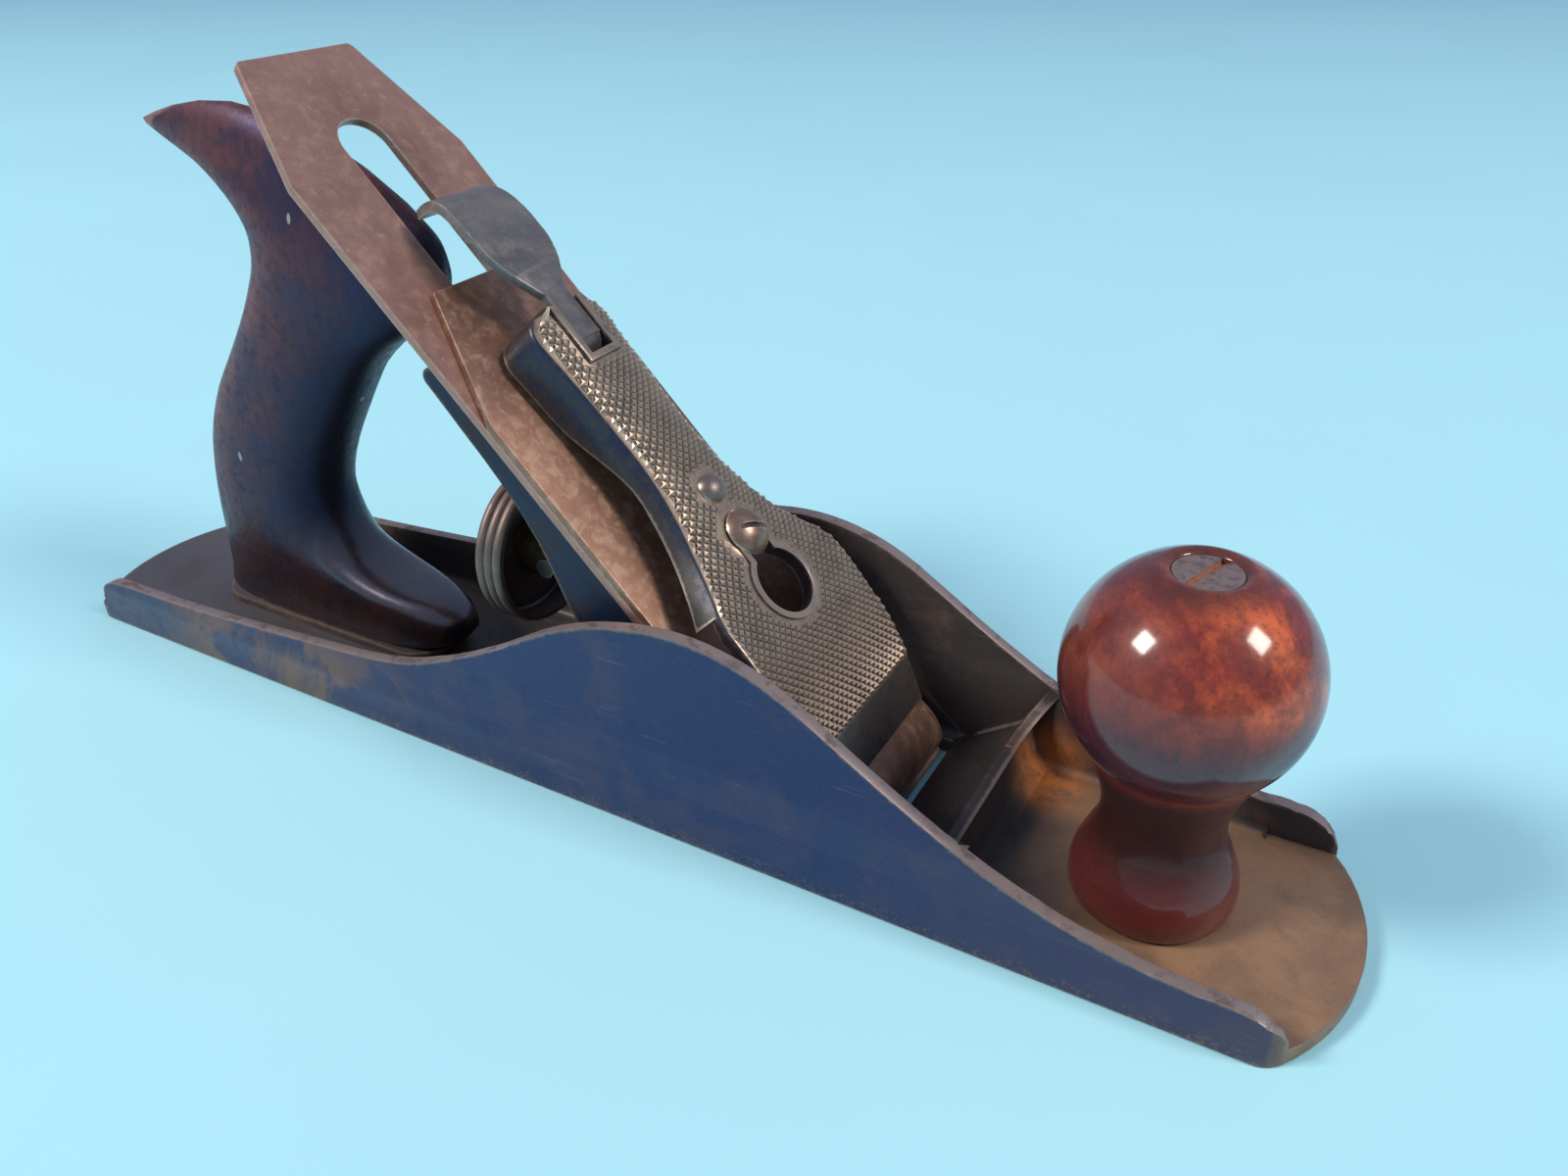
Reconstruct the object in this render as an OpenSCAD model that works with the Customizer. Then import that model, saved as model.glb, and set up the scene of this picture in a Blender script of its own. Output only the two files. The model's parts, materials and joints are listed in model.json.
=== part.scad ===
// Jack plane: a 14 in metal bench plane with a knurled lever cap.
// Frame: +X to the toe, +Y to the user's left, +Z up, origin at the centre of the sole's face.

/* [Sole and cheeks] */
// Length of the sole
sole_length = 355.6; // [340:0.1:380]
// Width of the sole
sole_width = 63.5; // [62.5:0.1:70]
// Thickness of the sole plate
sole_thickness = 3.6; // [3:0.1:4.5]
// Thickness of each cheek
cheek_thickness = 3.1; // [2.5:0.1:3.1]
// Height of the cheeks at their peak
cheek_height = 54.9; // [45:0.1:62]
// Distance from the mouth back to the cheeks' peak
cheek_peak_back = 38; // [30:1:46]
// Height of the cheeks at the heel
heel_height = 14.3; // [12:0.1:17]
// Height of the cheeks at the toe
toe_height = 12.2; // [10:0.1:15]
// Plan radius of the toe and heel ends
end_radius = 48; // [40:1:56]
// Plan radius of the four corners
corner_radius = 7; // [4:0.5:9]
// Height of the cross rib ahead of the mouth
rib_height = 14.5; // [10:0.5:17]
// Width of the mouth
mouth_width = 52.4; // [51.6:0.1:54]
// Gap between the cutter's line and the front of the mouth
mouth_gap = 2.3; // [1.5:0.1:4]

/* [Bed and frog] */
// Where the cutter's face meets the plane of the sole, ahead of the middle
bed_x = 78.3; // [70:0.1:84]
// Pitch of the bed
bed_angle = 46; // [44:0.5:48]
// Width of the frog
frog_width = 49; // [46:0.5:51]
// Length of the frog's bed, measured up the slope
frog_length = 142; // [138:1:148]
// Thickness of the frog's bed plate
frog_plate = 5; // [4:0.1:5.5]
// Thickness of the frog's side webs
frog_web = 4; // [3:0.1:5]
// Depth of the frog's webs at the top of the bed
frog_top_depth = 6.6; // [5:0.1:7]
// Angle between the webs' back edge and the bed
frog_taper = 12.3; // [11:0.1:13.5]
// Height of the machined seat under the frog
seat_height = 6.5; // [5.5:0.1:7.5]

/* [Cutter] */
// Width of the cutter
iron_width = 50.8; // [48:0.1:51.2]
// Length of the cutter
iron_length = 215.4; // [200:0.1:220]
// Length of the cutter up to its shoulders
iron_shoulder = 185.6; // [175:0.1:190]
// Width of the cutter's top edge
iron_top_width = 32; // [26:0.5:38]
// Thickness of the cutter
iron_thickness = 2; // [1.6:0.1:2.4]
// Width of the cutter's slot
iron_slot = 13.2; // [11.5:0.1:13.6]
// Grinding angle of the cutter
bevel_angle = 27; // [23:1:35]
// Length of the cap iron
cap_iron_length = 153.5; // [150:0.1:160]
// Thickness of the cap iron
cap_iron_thickness = 2; // [1.6:0.1:2.2]
// Height of the cap iron's hump
hump_height = 5.4; // [4.6:0.1:5.6]

/* [Lever cap] */
// Half width of the lever cap at its lower end
cap_half_width = 24.6; // [22:0.1:25]
// Half width of the lever cap at its waist
cap_waist = 10.6; // [10:0.1:12]
// Height of the lever cap's face above the cutter
cap_height = 16.5; // [16:0.1:18]
// Thickness of the lever cap's plate
cap_plate = 3; // [2.4:0.1:3.2]
// Thickness of the lever cap's side flanges
cap_flange = 2.6; // [2:0.1:2.8]
// Diameter of the round part of the keyhole
keyhole_d = 15.6; // [14:0.1:17]
// Diameter of the lever cap screw's head
cap_screw_head = 11.4; // [10.5:0.1:12.6]
// Diameter of the lever cap screw's shank
cap_screw_shank = 6.2; // [5:0.1:7]
// Width of the cam lever's strap
strap_width = 6.8; // [6:0.1:8]
// Width of the cam lever's thumb pad
pad_width = 19.6; // [16:0.1:23]
// Thickness of the cam lever's sheet
lever_sheet = 2.2; // [1.8:0.1:2.4]

/* [Depth adjuster] */
// Diameter of the depth wheel over its ridges
wheel_d = 38.6; // [34:0.1:42]
// Width of the depth wheel's rim
wheel_rim = 7.5; // [7:0.1:8.4]
// Wall of the depth wheel
wheel_wall = 1.4; // [1.2:0.1:1.8]
// Height of the stud's axis above the sole
stud_z = 46.4; // [44:0.1:48]
// Diameter of the stud
stud_d = 6.2; // [5.5:0.1:6.6]

/* [Knob and tote] */
// Distance of the knob's axis ahead of the middle
knob_x = 135.5; // [130:0.1:140]
// Height of the knob's top above the sole
knob_top = 81.6; // [72:0.1:88]
// Diameter of the knob's ball
knob_ball = 48.3; // [42:0.1:52]
// Diameter of the knob's neck
knob_neck = 25; // [22:0.1:28]
// Diameter of the knob's base bead
knob_base = 34.4; // [32:0.1:36]
// Thickness of the tote's grip
tote_thickness = 23; // [20:0.1:26]
// Diameter of the rods through the knob and the tote
rod_d = 5.6; // [5:0.1:6.4]
// Diameter of the round nuts on the rods
nut_d = 12.7; // [11:0.1:14]

/* [Hidden] */
$fn = 64;

// Radial clearance of a shaft in its hole, gap between sliding faces, and overshoot of a cut
fit = 0.05;
slide_gap = 0.3;
cut = 1;

// Ends of the casting
half_length = sole_length / 2;
half_width = sole_width / 2;
inner_half = half_width - cheek_thickness;
end_x = half_length - end_radius;

// Points along a smooth curve through p, n steps to each span
function blend(a, b, c, d, t) = 0.5 * (2 * b + (c - a) * t + (2 * a - 5 * b + 4 * c - d) * t * t
    + (3 * b - a - 3 * c + d) * t * t * t);
function curve(p, n) = concat([for (i = [0 : len(p) - 2]) for (k = [0 : n - 1])
    blend(p[max(i - 1, 0)], p[i], p[i + 1], p[min(i + 2, len(p) - 1)], k / n)], [p[len(p) - 1]]);
// Smooth step from 0 at a to 1 at b
function ease(x, a, b) = let (t = min(1, max(0, (x - a) / (b - a)))) t * t * (3 - 2 * t);

// Bed frame: s runs up the slope from the sole, h stands off the cutter's face
module on_bed(s = 0, h = 0) {
    translate([bed_x, 0, 0]) rotate([0, -bed_angle, 180]) translate([s, 0, h]) children();
}
function bed_point(s, h) = [bed_x - s * cos(bed_angle) + h * sin(bed_angle), s * sin(bed_angle) + h * cos(bed_angle)];

// A side view, drawn as [x, z], made w wide about the middle plane
module side(w) {
    rotate([90, 0, 0]) linear_extrude(w, center = true) children();
}

// Round-ended slot from [a, 0] to [b, 0]
module slot_shape(a, b, r) {
    translate([a, -r]) square([b - a, 2 * r]);
    translate([a, 0]) circle(r);
    translate([b, 0]) circle(r);
}

// Bed surface under the cutter, and where it reaches the sole and the seat
bed_h = -iron_thickness - slide_gap;
mouth_back = bed_x + bed_h / sin(bed_angle);
mouth_front = bed_x + mouth_gap;

// Cutter at rest: its edge is drawn back a little from the sole
feed_rest = 0.6;
yoke_s = 91;
cap_screw_s = 110;
hook_s = 73.3;

// Plan outline of the sole, with round ends and round corners
corner_drop = half_width - corner_radius;
corner_x = end_x + sqrt((end_radius - corner_radius) ^ 2 - corner_drop ^ 2);
corner_angle = atan2(corner_drop, corner_x - end_x);
corner_tip = end_x + sqrt(end_radius ^ 2 - half_width ^ 2) + cut;
module sole_outline() {
    difference() {
        union() {
            square([2 * end_x, sole_width], center = true);
            for (m = [0, 1]) mirror([m, 0]) intersection() {
                translate([end_x, 0]) circle(end_radius, $fn = 128);
                translate([end_x - cut, -half_width]) square([end_radius + 2 * cut, sole_width]);
            }
        }
        for (m = [0, 1], k = [0, 1]) mirror([m, 0]) mirror([0, k]) polygon([
            [corner_x, half_width + cut],
            [corner_x, half_width],
            [end_x + end_radius * cos(corner_angle), end_radius * sin(corner_angle)],
            [corner_tip + corner_radius, half_width + cut]]);
    }
    for (m = [0, 1], k = [0, 1]) mirror([m, 0]) mirror([0, k])
        translate([corner_x, corner_drop]) circle(corner_radius);
}

// Upper edge of the cheeks from heel to toe
peak_x = bed_x - cheek_peak_back;
rise = cheek_height - heel_height;
fall = cheek_height - toe_height;
cheek_edge = concat(
    [[-half_length + 15, sole_thickness]],
    curve([
        [-half_length + 15.3, heel_height - 6],
        [-half_length + 16.8, heel_height - 3],
        [-half_length + 20, heel_height - 1.1],
        [-half_length + 26, heel_height - 0.1],
        [-half_length + 57, heel_height + 0.8],
        [peak_x - 113, heel_height + 0.11 * rise],
        [peak_x - 90, heel_height + 0.17 * rise],
        [peak_x - 75, heel_height + 0.265 * rise],
        [peak_x - 54, heel_height + 0.5 * rise],
        [peak_x - 32, heel_height + 0.81 * rise],
        [peak_x - 15, heel_height + 0.955 * rise],
        [peak_x, cheek_height],
        [peak_x + 14, toe_height + 0.95 * fall],
        [peak_x + 27, toe_height + 0.815 * fall],
        [peak_x + 49, toe_height + 0.492 * fall],
        [peak_x + 70, toe_height + 0.228 * fall],
        [peak_x + 90, toe_height + 0.07 * fall],
        [peak_x + 106, toe_height + 0.008 * fall],
        [half_length - 21, toe_height],
        [half_length - 15.5, toe_height - 0.9],
        [half_length - 11.2, toe_height - 3.6]], 4),
    [[half_length - 8.4, sole_thickness]]);

// Tote boss and rib
tote_set = 37.3;
tote_heel = -half_length + tote_set;
tote_toe = -56;
boss_half = 11;
boss_top = sole_thickness + 2.2;
rib_x = mouth_front + 16.5;
rib_fillet = 11;

module cheeks() {
    intersection() {
        difference() {
            linear_extrude(cheek_height + cut) sole_outline();
            translate([-half_length, -inner_half, sole_thickness - fit])
                cube([sole_length, 2 * inner_half, cheek_height + 2 * cut]);
        }
        side(sole_width + 2 * cut) polygon(cheek_edge);
    }
}

// Concave fillet strips where the cheeks meet the sole
cheek_fillet = 2.2;
module cheek_fillets() {
    fillet_length = 2 * (half_length - 24);
    for (m = [0, 1]) mirror([0, m, 0])
        translate([-fillet_length / 2, inner_half - cheek_fillet, sole_thickness - fit]) difference() {
            cube([fillet_length, cheek_fillet + fit, cheek_fillet + fit]);
            translate([-cut, 0, cheek_fillet + fit]) rotate([0, 90, 0])
                cylinder(h = fillet_length + 2 * cut, r = cheek_fillet);
        }
}

// Ramp from the mouth up to a round crest, swept up into the cheeks at both ends
module rib() {
    crest_r = 1.2;
    crest = rib_height - crest_r;
    lift = rib_height + rib_fillet;
    lean = (rib_x - mouth_front) / (rib_height - sole_thickness);
    intersection() {
        side(2 * inner_half + 2 * fit) union() {
            polygon([
                [mouth_front, 0],
                [mouth_front, sole_thickness],
                [rib_x - crest_r, crest + crest_r * 0.6],
                [rib_x + crest_r, crest + crest_r * 0.6],
                [rib_x + 3.5, sole_thickness + 3],
                [rib_x + 7, sole_thickness - fit],
                [rib_x + 7, 0]]);
            translate([rib_x, crest]) circle(crest_r * 1.16);
            polygon([
                [rib_x - crest_r * 1.1, crest],
                [rib_x + crest_r * 1.1, crest],
                [rib_x + 0.5 * lean * rib_fillet, lift],
                [rib_x + 0.5 * lean * rib_fillet - 3, lift]]);
        }
        rotate([90, 0, 90]) linear_extrude(2 * (rib_x + rib_fillet), center = true) difference() {
            translate([-inner_half - fit, 0]) square([2 * inner_half + 2 * fit, lift]);
            translate([-inner_half + rib_fillet, rib_height])
                square([2 * (inner_half - rib_fillet), lift]);
            for (m = [-1, 1]) translate([m * (inner_half - rib_fillet), rib_height + rib_fillet])
                circle(rib_fillet);
        }
    }
}

// Seat under the frog, with a ramp that carries the cutter down to the mouth
frog_foot = bed_point((seat_height - bed_h * cos(bed_angle)) / sin(bed_angle), bed_h)[0];
foot_back = frog_foot - 34;
frog_screw_x = frog_foot - 19;
frog_screw_y = 11;
screw_d = 5.4;
module frog_seat() {
    for (m = [-1, 1]) translate([foot_back, m * (frog_width / 2 - 6) - 6, sole_thickness - fit])
        cube([frog_foot - foot_back - 6, 12, seat_height - sole_thickness + fit]);
    translate([frog_screw_x - 7, -frog_width / 2, sole_thickness - fit])
        cube([14, frog_width, seat_height - sole_thickness + fit]);
    side(mouth_width) polygon([
        [frog_foot - 12, 0],
        [frog_foot - 12, seat_height],
        [frog_foot, seat_height],
        [mouth_back, 0]]);
}

knob_seat_r = 13;
module body() {
    color("midnightblue") difference() {
        union() {
            linear_extrude(sole_thickness) sole_outline();
            cheeks();
            cheek_fillets();
            rib();
            frog_seat();
            linear_extrude(boss_top) slot_shape(tote_heel + boss_half, tote_toe - boss_half, boss_half);
            translate([knob_x, 0, 0]) cylinder(h = sole_thickness + 0.6, r = knob_seat_r);
        }
        side(mouth_width) polygon([
            [mouth_back + cut / tan(bed_angle), -cut],
            [mouth_front, -cut],
            [mouth_front, seat_height + cut],
            [frog_foot - cut / tan(bed_angle), seat_height + cut]]);
        for (m = [-1, 1]) translate([frog_screw_x, m * frog_screw_y, 1]) cylinder(h = seat_height, r = screw_d / 2 + fit);
        translate([knob_x, 0, 1]) cylinder(h = seat_height, r = rod_d / 2 + fit);
        tote_axis() cylinder(h = boss_top + 2 * cut, r = rod_d / 2 + fit);
    }
}

// Line of the rod through the tote: foot on the boss, head under the horn
rod_foot_set = 23.7;
rod_head_set = 64.6;
rod_head_z = 133.4;
rod_foot = [tote_heel + rod_foot_set, 1.6];
rod_head = [tote_heel + rod_head_set, rod_head_z];
rod_angle = atan2(rod_head[0] - rod_foot[0], rod_head[1] - rod_foot[1]);
rod_length = norm(rod_head - rod_foot);
module tote_axis() {
    translate([rod_foot[0], 0, rod_foot[1]]) rotate([0, rod_angle, 0]) children();
}

// Back edge of the frog's webs: near level behind the bed, then down to the bend and straight to the foot
frog_bend = [84, -16.3];
frog_back = [
    [frog_length - 3, -frog_top_depth],
    [frog_length - 14, -frog_top_depth - 0.6],
    [frog_length - 26, -frog_top_depth - 1.2],
    [frog_length - 36, -frog_top_depth - 2.6],
    [frog_length - 45, frog_bend[1] + 4.9],
    [frog_length - 52, frog_bend[1] + 2.3],
    frog_bend];
frog_bend_point = bed_point(frog_bend[0], frog_bend[1]);
frog_line_point = bed_point(0, frog_bend[1] - frog_bend[0] * tan(frog_taper));
function web_x(z) = frog_bend_point[0] + (frog_line_point[0] - frog_bend_point[0])
    * (frog_bend_point[1] - z) / (frog_bend_point[1] - frog_line_point[1]);
web_foot_x = web_x(seat_height);
stud_wall_x = web_x(stud_z);
stud_end = stud_wall_x + 3.6;
window_low = 84;
window_high = 123;
window_half = 10;
hook_boss_r = 7;
foot_plate = 4;
pin_s = yoke_s - 0.4;
pin_h = -10.3;
yoke_pin_d = 4;
lug_half = window_half + 0.2;
lug_thick = 4;

// Where the bed plate's underside meets the top of the foot plate
hollow_s = (seat_height + foot_plate - (bed_h - frog_plate) * cos(bed_angle)) / sin(bed_angle);
frog_nose_r = (frog_top_depth + bed_h) / 2;

// Side view: round nose at the top, then the back edge and the flat foot
module frog_outline() {
    polygon(concat(
        [for (a = [90 : -22.5 : -90])
            bed_point(frog_length - frog_nose_r * (1 - cos(a)), bed_h - frog_nose_r + frog_nose_r * sin(a))],
        [for (q = curve(frog_back, 3)) bed_point(q[0], q[1])],
        [[web_foot_x, seat_height], [frog_foot, seat_height]]));
}

module frog() {
    inner = frog_width - 2 * frog_web;
    color("midnightblue") difference() {
        union() {
            difference() {
                side(frog_width) frog_outline();
                // Hollow between the webs, under the bed plate and over the foot
                side(inner) polygon([
                    bed_point(frog_length - 6, bed_h - frog_plate),
                    bed_point(frog_length - 6, -frog_length),
                    [web_foot_x - 3 * cut, seat_height + foot_plate],
                    bed_point(hollow_s, bed_h - frog_plate)]);
            }
            // Wall that carries the stud, with its boss
            intersection() {
                side(inner + 2 * fit) polygon([
                    [stud_wall_x - 12, seat_height],
                    [stud_wall_x - 12, stud_z + 3],
                    [stud_wall_x + 5, stud_z + 3],
                    [stud_wall_x + 5 + (stud_z + 3 - seat_height) / 2, seat_height + foot_plate],
                    [stud_wall_x + 5 + (stud_z + 3 - seat_height) / 2, seat_height]]);
                side(frog_width) frog_outline();
            }
            translate([stud_wall_x + 1, 0, stud_z]) rotate([0, 90, 0]) cylinder(h = 7, r = stud_d / 2 + 3.4);
            // Boss for the lever cap screw
            on_bed(hook_s, bed_h - frog_plate - 9) cylinder(h = frog_plate + 9, r = hook_boss_r);
            // Lugs for the yoke's pin
            for (m = [-1, 1]) intersection() {
                translate([0, m * (lug_half + lug_thick / 2), 0]) side(lug_thick) union() {
                    polygon([
                        bed_point(pin_s - 5, bed_h - 1),
                        bed_point(pin_s + 5, bed_h - 1),
                        bed_point(pin_s + 3.6, pin_h),
                        bed_point(pin_s - 3.6, pin_h)]);
                    translate(bed_point(pin_s, pin_h)) circle(4);
                }
            }
        }
        // Window for the tongue and the cap iron screw, and the open part over the frog's screws
        on_bed(window_low, bed_h - frog_plate - cut) translate([0, -window_half, 0])
            cube([window_high - window_low, 2 * window_half, frog_plate + 2 * cut]);
        on_bed(21, bed_h - frog_plate - cut) translate([0, -15, 0])
            cube([hook_s - hook_boss_r - 3 - 21, 30, frog_plate + 2 * cut]);
        on_bed(hook_s, bed_h - 20) cylinder(h = 22, r = cap_screw_shank / 2 + fit);
        translate([stud_end + 1 - 2 * stud_d, 0, stud_z]) rotate([0, 90, 0])
            cylinder(h = 2 * stud_d, r = stud_d / 2 + fit);
        yoke_axis() cylinder(h = 2 * (lug_half + lug_thick) + cut, r = yoke_pin_d / 2 + fit, center = true);
        for (m = [-1, 1]) translate([frog_screw_x, m * frog_screw_y, seat_height - cut])
            cylinder(h = foot_plate + 2 * cut, r = screw_d / 2 + 0.5);
    }
}

module yoke_axis() {
    p = bed_point(pin_s, pin_h);
    translate([p[0], 0, p[1]]) rotate([90, 0, 0]) children();
}

// Screws, nuts and washers
module slotted_head(d, h, slot, angle = 0) {
    difference() {
        cylinder(h = h, r = d / 2);
        rotate(angle) translate([-d, -slot / 2, h - 0.4 * h]) cube([2 * d, slot, h]);
    }
}

// Domed head, its flat underside at 0
module domed_head(d, h) {
    r = (d * d / 4 + h * h) / (2 * h);
    intersection() {
        translate([0, 0, h - r]) sphere(r);
        cylinder(h = h + cut, r = d / 2);
    }
}

washer_t = 1;
module frog_screws() {
    color("saddlebrown") for (m = [-1, 1]) translate([frog_screw_x, m * frog_screw_y, 0]) {
        translate([0, 0, 1.2]) cylinder(h = seat_height + foot_plate + washer_t - 1, r = screw_d / 2);
        translate([0, 0, seat_height + foot_plate + washer_t]) slotted_head(9, 3.6, 1.2);
    }
}

module frog_washers() {
    color("gray") for (m = [-1, 1]) translate([frog_screw_x, m * frog_screw_y, seat_height + foot_plate])
        difference() {
            cylinder(h = washer_t, r = 6);
            translate([0, 0, -cut]) cylinder(h = washer_t + 2 * cut, r = screw_d / 2 + fit);
        }
}

// Depth wheel and its bush, along the stud
wheel_back = stud_wall_x - 34.2;
wheel_front = wheel_back + wheel_rim;
bush_hub_r = 6;
bush_flange_r = 7.6;
groove_r = 4.7;
groove_back = wheel_front + 4.2;
groove_width = 3.6;
stud_tail = wheel_back - 4;

// A shape of revolution about the stud's axis, drawn as [radius, distance along +X]
module about_stud() {
    translate([0, 0, stud_z]) rotate([0, 90, 0]) rotate_extrude($fn = 96) children();
}

module adjusting_stud() {
    color("dimgray") about_stud() polygon([
        [0, stud_tail],
        [stud_d / 2 - 0.8, stud_tail],
        [stud_d / 2, stud_tail + 0.8],
        [stud_d / 2, stud_end],
        [0, stud_end]]);
}

module wheel_bush() {
    bore = stud_d / 2 + fit;
    color("darkgoldenrod") about_stud() polygon([
        [bore, wheel_back - 1.6],
        [bush_flange_r, wheel_back - 1.6],
        [bush_flange_r, wheel_back - slide_gap],
        [bush_hub_r, wheel_back - slide_gap],
        [bush_hub_r, wheel_back + wheel_wall + slide_gap],
        [bush_flange_r, wheel_back + wheel_wall + slide_gap],
        [bush_flange_r, groove_back],
        [groove_r, groove_back],
        [groove_r, groove_back + groove_width],
        [bush_flange_r, groove_back + groove_width],
        [bush_flange_r, groove_back + groove_width + 1.8],
        [bore, groove_back + groove_width + 1.8]]);
}

// Pressed cup: a back web, and a rim rolled into three ridges
module adjusting_wheel() {
    ridge = wheel_rim / 3;
    rim_r = wheel_d / 2;
    ridge_r = ridge * 0.62;
    color("rosybrown") about_stud() difference() {
        union() {
            translate([bush_hub_r + fit, wheel_back]) square([rim_r - ridge_r - bush_hub_r - fit, wheel_wall]);
            translate([rim_r - ridge_r - wheel_wall, wheel_back]) square([ridge_r + wheel_wall - 1.1, wheel_rim]);
            intersection() {
                for (i = [0 : 2]) translate([rim_r - ridge_r, wheel_back + (i + 0.5) * ridge]) circle(ridge_r, $fn = 32);
                translate([rim_r - 2 * ridge_r, wheel_back]) square([2 * ridge_r, wheel_rim]);
            }
        }
        translate([rim_r - ridge_r - wheel_wall - 2, wheel_back + wheel_wall])
            square([3.2, wheel_rim]);
    }
}

// Rocking lever: hub on the pin, tongue up through the cutter, fork down round the bush
tip_h = cap_iron_thickness / 2 - 0.2;
tongue_thick = 2.6;
tongue_width = 8;
finger_r = 1.45;
module yoke_lever() {
    tip = bed_point(yoke_s, tip_h);
    hub = bed_point(pin_s, pin_h);
    finger = [groove_back + groove_width / 2 - 0.12, stud_z];
    arm = finger - hub;
    arm_angle = atan2(arm[1], arm[0]);
    hub_half = lug_half - slide_gap;
    fork_in = groove_r + slide_gap;
    arm_in = bush_flange_r + slide_gap;
    color("gray") difference() {
        union() {
            yoke_axis() cylinder(h = 2 * hub_half, r = 3.9, center = true);
            side(tongue_width) {
                translate(tip) circle(tongue_thick / 2);
                polygon([
                    bed_point(yoke_s - 1, tip_h),
                    bed_point(yoke_s + 1, tip_h),
                    bed_point(pin_s + 2, pin_h + 3),
                    bed_point(pin_s - 2, pin_h + 3)]);
            }
            // Two arms that straddle the bush, each with a finger turned in to its groove
            for (m = [-1, 1]) {
                translate([0, m * (arm_in + hub_half) / 2, 0]) side(hub_half - arm_in) {
                    translate(hub) rotate(arm_angle) translate([0, -1.6]) square([norm(arm), 3.2]);
                    translate(finger) circle(2.4);
                }
                translate([finger[0], m * (fork_in + hub_half - fit) / 2, finger[1]]) rotate([90, 0, 0])
                    cylinder(h = hub_half - fit - fork_in, r = finger_r, center = true);
            }
        }
        yoke_axis() cylinder(h = 3 * hub_half, r = yoke_pin_d / 2 + fit, center = true);
    }
}

module yoke_pin() {
    color("gray") yoke_axis() cylinder(h = 2 * (lug_half + lug_thick), r = yoke_pin_d / 2, center = true);
}

// Cutter, cap iron and their screw slide together; s is counted from the cutting edge
module cutter_frame(s = 0, h = 0) {
    on_bed(feed_rest + s, h) children();
}

cutter_slot_low = hook_s - feed_rest - 8;
cutter_slot_high = iron_shoulder + 11.6 - iron_slot / 2;
module iron() {
    half = iron_width / 2;
    top = iron_top_width / 2;
    color("#6b5148") cutter_frame() intersection() {
        translate([0, 0, -iron_thickness - cut]) linear_extrude(iron_thickness + 2 * cut) difference() {
            polygon([
                [-cut, -half],
                [iron_shoulder, -half],
                [iron_length - 0.8, -top],
                [iron_length, -top + 0.8],
                [iron_length, top - 0.8],
                [iron_length - 0.8, top],
                [iron_shoulder, half],
                [-cut, half]]);
            slot_shape(cutter_slot_low, cutter_slot_high, iron_slot / 2);
            translate([cutter_slot_low + 4, 0]) circle(10);
        }
        rotate([90, 0, 0]) linear_extrude(iron_width + 2 * cut, center = true) polygon([
            [0, 0],
            [iron_thickness / tan(bevel_angle), -iron_thickness],
            [iron_length + cut, -iron_thickness],
            [iron_length + cut, 0]]);
    }
}

// Side view of the cap iron: a sprung hump at the edge, then flat on the cutter
module cap_iron_side() {
    t = cap_iron_thickness;
    p = hump_height;
    polygon(concat(
        curve([[1.2, 0], [3.2, 0.58 * p], [7, 0.92 * p], [12, p], [19, 0.76 * p], [27, 0.2 * p + 0.95 * t],
            [34, t]], 5),
        [[cap_iron_length, t], [cap_iron_length, 0]],
        curve([[34, 0], [27, 0.2 * p - 0.05 * t], [19, 0.76 * p - t], [12, p - t], [7.6, 0.92 * p - t],
            [4.6, 0.32 * p], [2.8, 0]], 5)));
}

cap_iron_clip = 30.5;
module cap_iron() {
    half = iron_width / 2;
    top = iron_top_width / 2 - 1.5;
    color("#8a5a3c") cutter_frame() intersection() {
        translate([0, 0, -cut]) linear_extrude(hump_height + 2 * cut) difference() {
            polygon([
                [0, -half],
                [cap_iron_length - cap_iron_clip, -half],
                [cap_iron_length, -top],
                [cap_iron_length, top],
                [cap_iron_length - cap_iron_clip, half],
                [0, half]]);
            slot_shape(hook_s - feed_rest - 4, hook_s - feed_rest + 5, cap_screw_head / 2 + 0.9);
            translate([yoke_s - feed_rest, 0]) square([tongue_thick + 1.2, tongue_width + 1.6], center = true);
            translate([cap_screw_s - feed_rest, 0]) circle(cap_thread_d / 2 + fit);
        }
        rotate([90, 0, 0]) linear_extrude(iron_width + 2 * cut, center = true) cap_iron_side();
    }
}

cap_thread_d = 7.9;
module cap_iron_screw() {
    color("gray") cutter_frame(cap_screw_s - feed_rest) {
        translate([0, 0, -iron_thickness]) cylinder(h = iron_thickness + cap_iron_thickness + 1, r = cap_thread_d / 2);
        translate([0, 0, -iron_thickness]) mirror([0, 0, 1]) slotted_head(iron_slot + 2.6, 2.8, 1.4);
    }
}

// Lever cap, in the bed frame
lip_s = 15.3;
lip_h = 5.9;
ridge_s = 26.4;
ridge_h = 11.5;
flange_s = 63.4;
waist_s = 101;
waist_r = 65;
cap_end = 137;
cap_corner = 7;
crown = 2.3;
flange_flare = 1.6;
rim_lift = 0.6;
keyhole_s = hook_s - 13.4;

function cap_top(s) = s < ridge_s
    ? lip_h + 1.1 + (ridge_h - lip_h - 1.1) * (s - lip_s) / (ridge_s - lip_s)
    : cap_height - (cap_height - ridge_h) * (max(0, 56 - s) / (56 - ridge_s)) ^ 2;
function cap_under(s) = max(lip_h, cap_top(s) - cap_plate);
function waist_arc(s) = s < waist_s - waist_r + 4
    ? 2 * waist_r
    : s < waist_s
        ? cap_waist + waist_r - sqrt(waist_r ^ 2 - (waist_s - s) ^ 2)
        : cap_waist + (s - waist_s) ^ 2 / 650;
function cap_wide(s) = cap_half_width - 0.8 * ease(s, ridge_s, 52);
function soft_min(a, b) = -1.1 * ln(exp(-a / 1.1) + exp(-b / 1.1));
function corner_loss(s) = let (d = max(0, s - cap_end + cap_corner)) cap_corner - sqrt(cap_corner ^ 2 - d ^ 2);
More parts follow.
